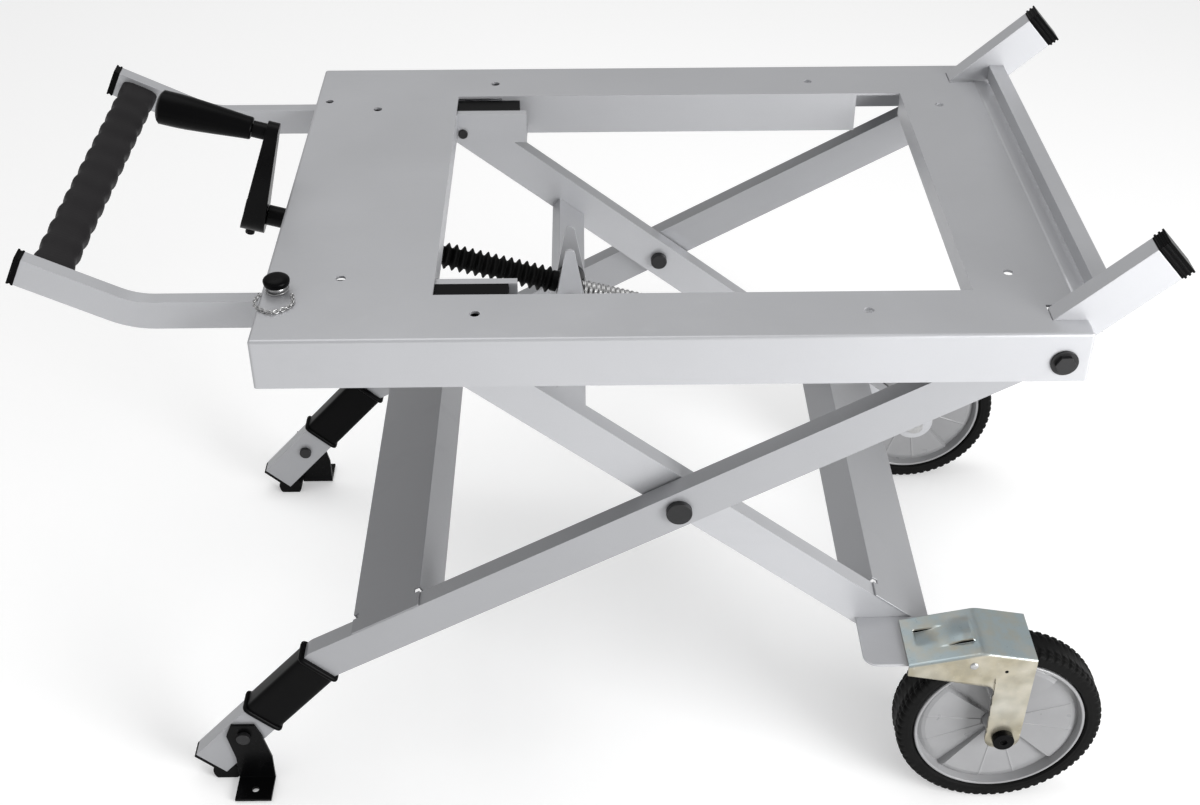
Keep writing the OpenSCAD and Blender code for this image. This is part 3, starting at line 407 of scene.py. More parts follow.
@dataclass(frozen=True)
class Rubber(Finish):
    """Matt rubber with pores, bloom and dust that gathers in blotches."""

    bloom: Color = (0.05, 0.048, 0.045)
    shine: float = 0.2
    blotch: float = 14 * MM
    pore: float = 0.9 * MM
    wave: float = 3 * MM
    depth: float = 0.03 * MM

    def draw(self, g: Graph) -> None:
        """Lays blotches of bloom over the rubber, and pores into it.

        Args:
            g: The material's graph.
        """
        dust = g.noise(self.blotch, 6, 0.62).above(0.52, 0.85)
        base = g.blend(dust * 0.35, self.color, self.bloom)
        g.dress(Base_Color=base, Roughness=dust * 0.12 + self.rough, Specular_IOR_Level=self.shine)
        g.bump(g.cells(self.pore) + g.noise(self.wave, 3) * 0.6, self.depth)


PAINT = PowderCoat("silver_paint", "paint", (0.46, 0.465, 0.482), 0.41)
# Painted shade: the silver paint made darker for the outer legs and the inner crossmember, where they sit in
# shade.
PAINT_LEG_SHADED = PowderCoat("leg_paint", "paint", (0.36, 0.364, 0.378), 0.41)
# Painted shade: the silver paint made darker still for the outer crossmember, whose faces turn away from the
# light.
PAINT_WEB_SHADED = PowderCoat("web_paint", "paint", (0.29, 0.293, 0.305), 0.42)
ZINC = ZincPlate("zinc_plate", "zinc_plate", (0.32, 0.295, 0.225), 0.28)
STEEL = BareSteel("bright_steel", "bright_steel", (0.50, 0.50, 0.50), 0.32)
DARK = BareSteel("dark_steel", "dark_steel", (0.012, 0.012, 0.013), 0.42, 0.3)
BLACK = Moulded("black_plastic", "black_plastic", (0.0018, 0.0018, 0.002), 0.32, shine=0.06)
COAT_BLACK = Moulded("black_coat", "dark_steel", (0.002, 0.002, 0.0022), 0.28, 1.2 * MM, 0.03 * MM, 0.09)
NYLON = Moulded("nylon", "nylon", (0.66, 0.64, 0.58), 0.50)
DISC = Moulded("grey_plastic", "grey_plastic", (0.255, 0.256, 0.262), 0.30, 0.9 * MM, 0.01 * MM, 0.5)
RUBBER = Rubber("rubber", "rubber", (0.003, 0.003, 0.003), 0.55, (0.012, 0.0115, 0.011), 0.08)
GRIP = Rubber("grip_rubber", "grip_rubber", (0.015, 0.014, 0.015), 0.55, (0.03, 0.03, 0.03), 0.12)
TYRE = Rubber("tyre", "tyre", (0.003, 0.003, 0.003), 0.6, (0.014, 0.0135, 0.013), 0.09)


# Places

class Side(Enum):
    """The two long sides of the stand."""

    NEAR = "near"
    FAR = "far"

    @property
    def sign(self) -> float:
        """-1 on the near side and 1 on the far side."""
        return -1.0 if self is Side.NEAR else 1.0


def both(name: str) -> tuple[str, ...]:
    """The near and far nodes of a pair."""
    return tuple(f"{name}_{side.value}" for side in Side)


def points_of(node: str) -> np.ndarray:
    """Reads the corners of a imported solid.

    Args:
        node: The solid's name.

    Returns:
        The corners, one row each.
    """
    verts = frame["nodes"][node].data.vertices
    co = np.empty(len(verts) * 3)
    verts.foreach_get("co", co)
    return co.reshape(-1, 3)


def corners(node: str) -> tuple[np.ndarray, np.ndarray]:
    """The lowest and highest corner of a node's box."""
    low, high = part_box(node)
    return np.array(low), np.array(high)


def joint(name: str) -> dict:
    """A joint of the record by its name."""
    return next(j for j in frame["joints"] if j["name"] == name)


@dataclass(frozen=True)
class Line:
    """A straight axis with two directions square to it."""

    origin: np.ndarray
    along: np.ndarray
    up: np.ndarray

    @property
    def side(self) -> np.ndarray:
        """The third direction."""
        return np.cross(self.along, self.up)

    @classmethod
    def out_from(cls, place: Sequence[float], side: Side) -> "Line":
        """The line from a place straight out on one side of the stand, with up as it is."""
        return cls(np.array(place), np.array([0, side.sign, 0]), Z_AXIS)

    @classmethod
    def of_joint(cls, name: str) -> "Line":
        """Takes the axis of a joint, with the up direction as near to the world's as it can be.

        Args:
            name: The joint's name.

        Returns:
            The axis.
        """
        along = np.array(joint(name)["axis"], float)
        along /= np.linalg.norm(along)
        lift = Z_AXIS - along * along[2]
        return cls(np.array(joint(name)["pos_m"], float), along, lift / np.linalg.norm(lift))

    def at(self, s: np.ndarray, r: np.ndarray, turn: np.ndarray) -> np.ndarray:
        """Points by place along the axis, distance from it and angle round it.

        Args:
            s: Places along the axis.
            r: Distances from it.
            turn: Angles round it.

        Returns:
            The points, with X, Y and Z last.
        """
        ring = np.cos(turn)[..., None] * self.up + np.sin(turn)[..., None] * self.side
        return self.origin + s[..., None] * self.along + r[..., None] * ring

    def polar(self, node: str) -> tuple[np.ndarray, np.ndarray]:
        """Measures a node's corners from the axis.

        Args:
            node: The node's name.

        Returns:
            The corners' places along the axis and their distances from it.
        """
        co = points_of(node) - self.origin
        s = co @ self.along
        return s, np.linalg.norm(co - s[:, None] * self.along, axis=1)


@dataclass(frozen=True)
class Slant:
    """The rectangle round a node as it is seen from the near side, turned to the node's own slope."""

    axes: np.ndarray
    centre: np.ndarray
    half: np.ndarray

    @classmethod
    def of(cls, node: str) -> "Slant":
        """Fits the rectangle, with its first axis where the node's corners spread most.

        Args:
            node: The node's name.

        Returns:
            The rectangle.
        """
        flat = points_of(node)[:, [0, 2]]
        axes = np.linalg.svd(flat - flat.mean(0), full_matrices=False)[2]
        reach = flat @ axes.T
        return cls(axes, (reach.min(0) + reach.max(0)) / 2, np.ptp(reach, axis=0) / 2)

    def at(self, a: np.ndarray, b: np.ndarray, y: np.ndarray) -> np.ndarray:
        """Points by place along both axes, and across the stand.

        Args:
            a: Places along the first axis, from the middle.
            b: Places along the second axis, from the middle.
            y: Places across the stand.

        Returns:
            The points, with X, Y and Z last.
        """
        x, z = ((self.centre[0] + a) * self.axes[0, i] + (self.centre[1] + b) * self.axes[1, i]
                for i in (0, 1))
        return np.stack([x, y, z], -1)


# Curves

def circle(count: int) -> np.ndarray:
    """Angles in equal steps round a full turn, the last one short of the first."""
    return np.linspace(0, 2 * math.pi, count, endpoint=False)


def quarter(count: int) -> np.ndarray:
    """Angles in equal steps over a quarter turn, with both ends."""
    return np.linspace(0, math.pi / 2, count)


def pairs(u: np.ndarray, v: np.ndarray) -> tuple[np.ndarray, np.ndarray]:
    """Every pair of two rows of values, as two grids."""
    grid_u, grid_v = np.meshgrid(u, v, indexing="ij")
    return grid_u, grid_v


def swell(x: np.ndarray, power: float) -> np.ndarray:
    """Raises to a power and keeps the sign, as a superellipse does with its cosine and sine."""
    return np.sign(x) * np.abs(x) ** power


def ease(x: np.ndarray, low: float, high: float) -> np.ndarray:
    """A smooth step from 0 at low to 1 at high."""
    t = np.clip((x - low) / (high - low), 0, 1)
    return t * t * (3 - 2 * t)


def hill(x: np.ndarray, rise: float, top: float, fall: float, end: float) -> np.ndarray:
    """A smooth rise from 0 to 1, a level stretch and a smooth fall.

    Args:
        x: Where it is wanted.
        rise: Where it starts to rise.
        top: Where it reaches 1.
        fall: Where it starts to fall.
        end: Where it is back at 0.

    Returns:
        Its height at each place.
    """
    return ease(x, rise, top) * (1 - ease(x, fall, end))


# Meshes

class Edge(Enum):
    """How wide the edges of a kind of piece are rounded."""

    BOLT = 0.5 * MM
    FINE = 0.6 * MM
    SOFT = 0.8 * MM
    ROUND = 1.0 * MM
    BROAD = 1.2 * MM
    CAST = 1.8 * MM
    CAP = 2.0 * MM


def outward(mesh: bpy.types.Mesh) -> None:
    """Turns the faces of closed shells outward.

    Args:
        mesh: The shells' mesh.
    """
    bm = bmesh.new()
    bm.from_mesh(mesh)
    bmesh.ops.recalc_face_normals(bm, faces=bm.faces)
    bm.to_mesh(mesh)
    bm.free()


def quads_of(index: np.ndarray) -> np.ndarray:
    """The four corners of every cell in a grid of vertex numbers, one row each."""
    return np.stack([index[:-1, :-1], index[:-1, 1:], index[1:, 1:], index[1:, :-1]], -1).reshape(-1, 4)


def surface(name: str, points: np.ndarray, loop_u: bool = False) -> bpy.types.Mesh:
    """Makes a closed mesh from rings of points.

    Args:
        name: The mesh's name.
        points: An array of shape (rings, columns, 3). Each ring joins its own start.
        loop_u: Whether the last ring joins the first. Else one face closes each end.

    Returns:
        The mesh.
    """
    rows, cols = points.shape[:2]
    index = np.arange(rows * cols).reshape(rows, cols)
    if loop_u:
        index = np.vstack([index, index[:1]])
    index = np.hstack([index, index[:, :1]])
    faces = quads_of(index).tolist()
    if not loop_u:
        faces += [np.arange(cols)[::-1].tolist(), (np.arange(cols) + (rows - 1) * cols).tolist()]
    mesh = bpy.data.meshes.new(name)
    mesh.from_pydata(points.reshape(-1, 3), [], faces)
    outward(mesh)
    return mesh


def open_sheet(name: str, points: np.ndarray) -> bpy.types.Mesh:
    """Makes an open mesh from a grid of points, with the first corner's side up.

    Args:
        name: The mesh's name.
        points: An array of shape (rows, columns, 3).

    Returns:
        The mesh.
    """
    rows, cols = points.shape[:2]
    quads = quads_of(np.arange(rows * cols).reshape(rows, cols))
    across = np.cross(points[0, 1] - points[0, 0], points[1, 0] - points[0, 0])
    if across[2] < 0:
        quads = quads[:, ::-1]
    mesh = bpy.data.meshes.new(name)
    mesh.from_pydata(points.reshape(-1, 3), [], quads.tolist())
    return mesh


def revolve(name: str, line: Line, s: np.ndarray, r: np.ndarray, sides: int = 64) -> bpy.types.Mesh:
    """Turns a profile about a line.

    Args:
        name: The mesh's name.
        line: The axis.
        s: The profile's places along it.
        r: The profile's distances from it.
        sides: Number of steps round it.

    Returns:
        The mesh.
    """
    grid_s, turn = pairs(s, circle(sides))
    return surface(name, line.at(grid_s, np.repeat(r[:, None], sides, 1), turn))


def show(name: str, mesh: bpy.types.Mesh, finish: Finish, node: str, smooth: float = 40.0,
         stands: bool = True) -> bpy.types.Object:
    """Links a mesh as a piece that rides a node's body.

    Args:
        name: The piece's name.
        mesh: Its mesh, in the frame's coordinates.
        finish: Its surface.
        node: The node whose body it rides.
        smooth: Edges sharper than this many degrees stay sharp.
        stands: Whether it takes the node's place.

    Returns:
        The new object.
    """
    obj = bpy.data.objects.new(name, mesh)
    bpy.context.scene.collection.objects.link(obj)
    mesh.materials.clear()
    mesh.materials.append(finish.build())
    mesh.polygons.foreach_set("use_smooth", np.ones(len(mesh.polygons), bool))
    mesh.set_sharp_from_angle(angle=math.radians(smooth))
    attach(obj, frame["nodes"][node]["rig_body"])
    if stands:
        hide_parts(node)
    log.info("piece %s, %d faces", name, len(mesh.polygons))
    return obj


def thicken(obj: bpy.types.Object, thickness: float) -> None:
    """Gives an open sheet its thickness, on the side away from its faces.

    Args:
        obj: The sheet.
        thickness: How thick it gets.
    """
    solid = obj.modifiers.new("thickness", "SOLIDIFY")
    solid.thickness = thickness
    solid.offset = -1.0


def softened(node: str, finish: Finish, edge: Edge, steps: int = 2,
             smooth: float = 12.0) -> bpy.types.Object:
    """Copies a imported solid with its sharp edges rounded, and shows it in the solid's place.

    Args:
        node: The solid's name.
        finish: Its surface.
        edge: The rounding's width.
        steps: The rounding's segments.
        smooth: Edges sharper than this many degrees stay sharp.

    Returns:
        The new piece.
    """
    mesh = frame["nodes"][node].data.copy()
    mesh.name = f"{node}_soft"
    bm = bmesh.new()
    bm.from_mesh(mesh)
    bmesh.ops.remove_doubles(bm, verts=bm.verts, dist=MERGE)
    bmesh.ops.dissolve_limit(bm, angle_limit=math.radians(FLAT_ANGLE), verts=bm.verts, edges=bm.edges)
    bm.to_mesh(mesh)
    bm.free()
    obj = show(f"{node}.soft", mesh, finish, node, smooth)
    rounding = obj.modifiers.new("rounding", "BEVEL")
    rounding.width = edge.value
    rounding.segments = steps
    rounding.limit_method = "ANGLE"
    rounding.angle_limit = math.radians(SHARP_ANGLE)
    rounding.use_clamp_overlap = True
    rounding.harden_normals = True
    return obj


def soften_all(finish: Finish, edge: Edge, *nodes: str) -> None:
    """Shows several solids alike, with their edges rounded.

    Args:
        finish: Their surface.
        edge: The rounding's width.
        nodes: The solids' names.
    """
    for node in nodes:
        softened(node, finish, edge)


def accent(obj: bpy.types.Object, finish: Finish, beyond: float) -> None:
    """Gives another finish to the faces that lie further out than a distance from the middle plane.

    Args:
        obj: The piece.
        finish: The other finish.
        beyond: The distance along Y, in metres.
    """
    mesh = obj.data
    mesh.materials.append(finish.build())
    centre = np.empty(len(mesh.polygons) * 3)
    mesh.polygons.foreach_get("center", centre)
    chosen = np.abs(centre.reshape(-1, 3)[:, 1]) > beyond
    mesh.polygons.foreach_set("material_index", chosen.astype(np.int32))


# Sub-assemblies

class Assembly:
    """A group of pieces that is made together."""

    def make(self) -> None:
        """Makes the pieces."""
        raise NotImplementedError


@dataclass
class Table(Assembly):
    """The folded table top with all that is fixed to it."""

    paint: Finish = PAINT
    roll_lap: float = 3 * MM
    roll_lift: float = 0.05 * MM
    roll_long: float = 23 * MM
    roll_high: float = 14 * MM
    roll_down: float = 26 * MM
    roll_gap: float = 0.4 * MM
    roll_sheet: float = 1.6 * MM

    def make(self) -> None:
        """Makes the sheet, what is fixed under and beside it, and its rolled end."""
        softened("table_top", self.paint, Edge.SOFT, 3)
        soften_all(self.paint, Edge.FINE, *both("rail"), *both("guide"), *both("arm"), "arm_cross_bar")
        soften_all(STEEL, Edge.FINE, "bearing_hanger")
        soften_all(BLACK, Edge.SOFT, "arm_caps")
        soften_all(DARK, Edge.BOLT, "table_pivot_bolts")
        soften_all(BLACK, Edge.FINE, *both("guide_blocks"))
        soften_all(DARK, Edge.BOLT, "guide_bolts")
        self._end_roll()

    def _end_roll(self) -> None:
        """The sheet's roll at the wheel end: a quarter ellipse from the top down under the cross bar."""
        top, arm = corners("table_top")[1], corners("arm_far")[0]
        start = top[0] - self.roll_lap
        a = quarter(24)
        x = start + np.concatenate([[-self.roll_lap], self.roll_long * np.sin(a), [self.roll_long]])
        fall = np.concatenate([[0], self.roll_high * (1 - np.cos(a)), [self.roll_down]])
        grid_x, grid_y = pairs(x, np.linspace(-1, 1, 9) * (arm[1] - self.roll_gap))
        grid_z = np.repeat((top[2] + self.roll_lift - fall)[:, None], grid_y.shape[1], 1)
        mesh = open_sheet("end_roll", np.stack([grid_x, grid_y, grid_z], -1))
        thicken(show("table_top.end_roll", mesh, self.paint, "table_top", stands=False), self.roll_sheet)


@dataclass
class Scissor(Assembly):
    """The outer and inner legs, with crossmembers, feet, forks and covers."""

    paint: Finish = PAINT
    # Painted shade: the leg paint is the silver paint made darker, standing for shade rather than another
    # coat.
    leg_paint: Finish = PAINT_LEG_SHADED
    # Painted shade: the web paint is the silver paint made darker for faces turned from the light.
    web_paint: Finish = PAINT_WEB_SHADED
    bead: float = 2.6 * MM
    squareness: float = 0.3
    cap_depth: float = 0.2 * MM

    def make(self) -> None:
        """Makes the legs and crossmembers, then what sits at the wheels, at the feet and at the pivots."""
        soften_all(self.leg_paint, Edge.BROAD, *both("outer_leg"))
        soften_all(self.paint, Edge.BROAD, *both("inner_leg"))
        soften_all(self.paint, Edge.FINE, "cross_tube", "clevis_ears")
        soften_all(self.leg_paint, Edge.FINE, "inner_crossmember")
        soften_all(self.web_paint, Edge.FINE, "outer_crossmember")
        soften_all(self.paint, Edge.FINE, *both("fork_plate"))
        for side in Side:
            Cover(side).make()
            self._axle(side)
        for node in both("foot_sleeve"):
            self._sleeve(node)
        soften_all(RUBBER, Edge.ROUND, *both("foot_pad"))
        soften_all(COAT_BLACK, Edge.SOFT, *both("foot_bracket"))
        soften_all(NYLON, Edge.FINE, *both("slide_roller"))
        soften_all(DARK, Edge.SOFT, "centre_bolts")
        soften_all(DARK, Edge.FINE, "foot_bolts", "nut_pins")

    def _axle(self, side: Side) -> None:
        """The axle bolt, with a black cap outside the cover.

        Args:
            side: The wheel's side.
        """
        low, high = corners(f"wheel_cover_{side.value}")
        cap = float(max(abs(low[1]), abs(high[1]))) - self.cap_depth
        accent(softened(f"axle_{side.value}", STEEL, Edge.SOFT, 3), BLACK, cap)

    def _sleeve(self, node: str) -> None:
        """A tube of rounded rectangular section with a rolled bead at each end, along the foot.

        The section is a superellipse. Its half sizes are the body's, and at each end they grow by a
        half circle to the bead's.

        Args:
            node: The sleeve's node.
        """
        slant = Slant.of(node)
        low, high = corners(node)
        a = np.linspace(-math.pi / 2, math.pi / 2, 13)
        end, grow = self.bead * np.sin(a), self.bead * (np.cos(a) - 1)
        s = np.concatenate([self.bead - slant.half[0] + end, slant.half[0] - self.bead + end])
        grow = np.concatenate([grow, grow])[:, None]
        grid_s, turn = pairs(s, circle(72))
        out = swell(np.cos(turn), self.squareness) * (slant.half[1] + grow)
        across = swell(np.sin(turn), self.squareness) * ((high[1] - low[1]) / 2 + grow)
        mesh = surface(f"{node}_tube", slant.at(grid_s, out, (low[1] + high[1]) / 2 + across))
        show(f"{node}.tube", mesh, BLACK, node, 35)


@dataclass
class Cover(Assembly):
    """One folded wheel cover: a top with a lanced strap, a rounded fold and a drop to the axle.

    Places are (along, up) from the axle, on the cover's outer faces. Across the top, shares go from
    its inner edge to the fold; along the strap, they go from its left end to its right end.
    """

    side: Side
    left: tuple[float, float] = (-102 * MM, 98 * MM)
    ridge: tuple[float, float] = (-30 * MM, 113.5 * MM)
    right: tuple[float, float] = (20 * MM, 104.5 * MM)
    ridge_round: float = 5 * MM
    flange: tuple[tuple[float, float], ...] = ((-102 * MM, 86 * MM), (-52 * MM, 76 * MM), (-27 * MM, 71 * MM))
    drop: tuple[float, float] = (-17 * MM, 17 * MM)
    drop_low: float = -14 * MM
    drop_step: float = 1.2 * MM
    drop_power: float = 2.6
    fillet: float = 9 * MM
    fold: float = 3.2 * MM
    sheet: float = 2.5 * MM
    strap: tuple[float, float] = (-92 * MM, -34 * MM)
    strap_depth: float = 3.4 * MM
    down_along_shares: tuple[float, ...] = (0.0, 0.05, 0.06, 0.52)
    down_across_shares: tuple[float, ...] = (0.27, 0.285, 0.30, 0.66)
    up_along_shares: tuple[float, ...] = (0.36, 0.78, 0.90, 0.97)
    up_across_shares: tuple[float, ...] = (0.12, 0.62, 0.72, 0.735)
    slit_shares: tuple[float, float] = (0.2775, 0.7275)
    slit_inset: float = 0.65 * MM
    slit_lip: float = 0.9 * MM
    rivet: tuple[float, float] = (-40 * MM, 98 * MM)
    rivet_size: tuple[float, float] = (4.2 * MM, 1.7 * MM)
    hole: tuple[float, float] = (-8 * MM, 90 * MM)
    hole_size: tuple[float, float] = (1.8 * MM, 0.12 * MM)
    stud_root: float = 1 * MM
    fine: float = 0.6 * MM
    coarse: float = 1.2 * MM
    strap_margin: float = 2 * MM
    first_angle: float = 0.06
    node: str = field(init=False)
    axle: np.ndarray = field(init=False)
    outer: float = field(init=False)
    depth: float = field(init=False)

    def __post_init__(self) -> None:
        """Takes the axle's place, the outer face's and the cover's width from the frame."""
        self.node = f"wheel_cover_{self.side.value}"
        low, high = corners(self.node)
        self.axle = np.array(joint(f"wheel_{self.side.value}_spin")["pos_m"])
        self.outer = float(low[1] if self.side is Side.NEAR else high[1])
        self.depth = float(high[1] - low[1])

    def make(self) -> None:
        """Makes the sheet, a black sheet of painted shade in each of the strap's two slits, the rivet and the
        small hole.
        """
        self._sheet()
        for share in self.slit_shares:
            self._slit(share)
        self._stud("rivet", self.rivet, self.rivet_size, STEEL)
        self._stud("hole", self.hole, self.hole_size, BLACK)

    def _top(self, x: np.ndarray) -> np.ndarray:
        """Height of the top, which rises to a rounded ridge and falls behind it.

        Args:
            x: Places along the cover.

        Returns:
            The height at each place.
        """
        rise_left = (self.ridge[1] - self.left[1]) / (self.ridge[0] - self.left[0])
        rise_right = (self.right[1] - self.ridge[1]) / (self.right[0] - self.ridge[0])
        past = x[:, None] + np.linspace(-1, 1, 11) * self.ridge_round - self.ridge[0]
        return self.ridge[1] + (np.where(past < 0, rise_left, rise_right) * past).mean(1)

    def _press(self, x: np.ndarray, t: np.ndarray) -> np.ndarray:
        """How far the strap stands off the top.

        Its left half is pressed down from a slit on the inner side, and its right half is pushed up
        from a slit on the outer side, so that the strap winds like an S.

        Args:
            x: Place along the cover.
            t: Share of the way from the inner edge to the fold.

        Returns:
            The height over the flat sheet.
        """
        s = (x - self.strap[0]) / (self.strap[1] - self.strap[0])
        down = hill(s, *self.down_along_shares) * hill(t, *self.down_across_shares)
        up = hill(s, *self.up_along_shares) * hill(t, *self.up_across_shares)
        return self.strap_depth * (up - down)

    def _edge(self, x: np.ndarray) -> tuple[np.ndarray, np.ndarray]:
        """The lower edge that belongs to each place along the fold.

        It follows the flange, turns down over the fillet, falls by the drop's side within a short
        step, and then follows the drop's rounded end.

        Args:
            x: Places along the fold.

        Returns:
            The edge's places along the cover and up from the axle.
        """
        flange = np.array(self.flange)
        start, turn = self.flange[-1][0], self.drop[0] - self.drop_step
        foot = self.flange[-1][1] - self.fillet
        bend = np.clip((x - start) / (turn - start), 0, 1) * math.pi / 2
        px = np.where(x > start, start + (self.drop[0] - start) * np.sin(bend), x)
        low = np.interp(x, flange[:, 0], flange[:, 1])
        low = np.where(x > start, foot + self.fillet * np.cos(bend), low)
        fall = np.clip((x - turn) / self.drop_step, 0, 1)
        px = np.where(x > turn, self.drop[0], px)
        low = np.where(x > turn, foot * (1 - fall), low)
        inside = x > self.drop[0]
        share = np.clip((x - self.drop[0]) / (self.right[0] - self.drop[0]), 0, 1)
        round_x = self.drop[0] + (self.drop[1] - self.drop[0]) * share
        bow = (1 - np.abs(2 * share - 1) ** self.drop_power) ** (1 / self.drop_power)
        return np.where(inside, round_x, px), np.where(inside, self.drop_low * bow, low)

    def _places(self) -> np.ndarray:
        """Chooses the places along the cover, closest at the strap, the fillet and the drop's corners.

        Returns:
            The places, from left to right.
        """
        strap_end, fillet_start = self.strap[1] + self.strap_margin, self.flange[-1][0]
        turn = self.drop[0] - self.drop_step
        wave = 0.5 - 0.5 * np.cos(np.linspace(self.first_angle, math.pi, 28))
        return np.concatenate([np.arange(self.left[0], strap_end, self.fine),
                               np.arange(strap_end, fillet_start, self.coarse),
                               np.linspace(fillet_start, turn - 0.1 * MM, 9),
                               np.linspace(turn, self.drop[0], 7),
                               self.drop[0] + (self.right[0] - self.drop[0]) * wave])

    def _sheet(self) -> None:
        """Sweeps the section, from the top's inner edge over the fold to the lower edge, along the cover."""
        x = self._places()
        top, flat_end = self._top(x)[:, None], self.depth - self.fold
        grid_x, t = pairs(x, np.linspace(0, 1, 90))
        flat = np.stack([grid_x, t * flat_end, top + self._press(grid_x, t)], -1)
        grid_x, bend = pairs(x, quarter(8)[1:])
        turn = np.stack([grid_x, flat_end + self.fold * np.sin(bend),
                         top - self.fold * (1 - np.cos(bend))], -1)
        px, pz = (p[:, None] for p in self._edge(x))
        down = np.linspace(0, 1, 14)[1:]
        side_x = x[:, None] + (px - x[:, None]) * down
        side_z = top - self.fold + (pz - top + self.fold) * down
        fall = np.stack([side_x, np.full_like(side_x, self.depth), side_z], -1)
        grid = np.concatenate([flat, turn, fall], 1)
        y = self.outer + self.side.sign * (grid[..., 1] - self.depth)
        place = np.stack([self.axle[0] + grid[..., 0], y, self.axle[2] + grid[..., 2]], -1)
        mesh = open_sheet(f"{self.node}_sheet", place)
        thicken(show(f"{self.node}.sheet", mesh, ZINC, self.node, 50), self.sheet)

    def _slit(self, t: float) -> None:
        """A black sheet in the open side of the strap, below the sheet's own thickness, as painted shade in
        the slit.

        Args:
            t: Where the slit is, as a share of the way from the inner edge to the fold.
        """
        x = np.linspace(*self.strap, 80)
        before, after = (self._press(x, np.full_like(x, t + step)) for step in (-0.01, 0.01))
        base = np.minimum(before, after)
        lip = np.maximum(np.maximum(before, after) - self.slit_lip, base)
        reach = t * (self.depth - self.fold) + self.slit_inset
        y = np.full_like(x, self.outer - self.side.sign * (self.depth - reach))
        rows = [np.stack([self.axle[0] + x, y, self.axle[2] + self._top(x) + h], -1)
                for h in (base, (base + lip) / 2, lip)]
        # Painted shade: a black sheet fills the open side of the slit, where only shade is seen.
        name = f"slit_{round(t * 100)}"
        mesh = open_sheet(f"{self.node}_{name}", np.stack(rows, 1))
        show(f"{self.node}.{name}", mesh, BLACK, self.node, 60, stands=False)

    def _stud(self, name: str, at: tuple[float, float], size: tuple[float, float], finish: Finish) -> None:
        """Sets a low dome on the cover's side.

        Args:
            name: What the dome stands for.
            at: Its place from the axle.
            size: Its radius and height.
            finish: Its surface.
        """
        line = Line.out_from((self.axle[0] + at[0], self.outer, self.axle[2] + at[1]), self.side)
        a = quarter(9)
        s = np.concatenate([[-self.stud_root], size[1] * np.sin(a)])
        r = np.concatenate([[size[0]], np.maximum(size[0] * np.cos(a), POLE)])
        mesh = revolve(f"{self.node}_{name}", line, s, r, 32)
        show(f"{self.node}.{name}", mesh, finish, self.node, 60, stands=False)


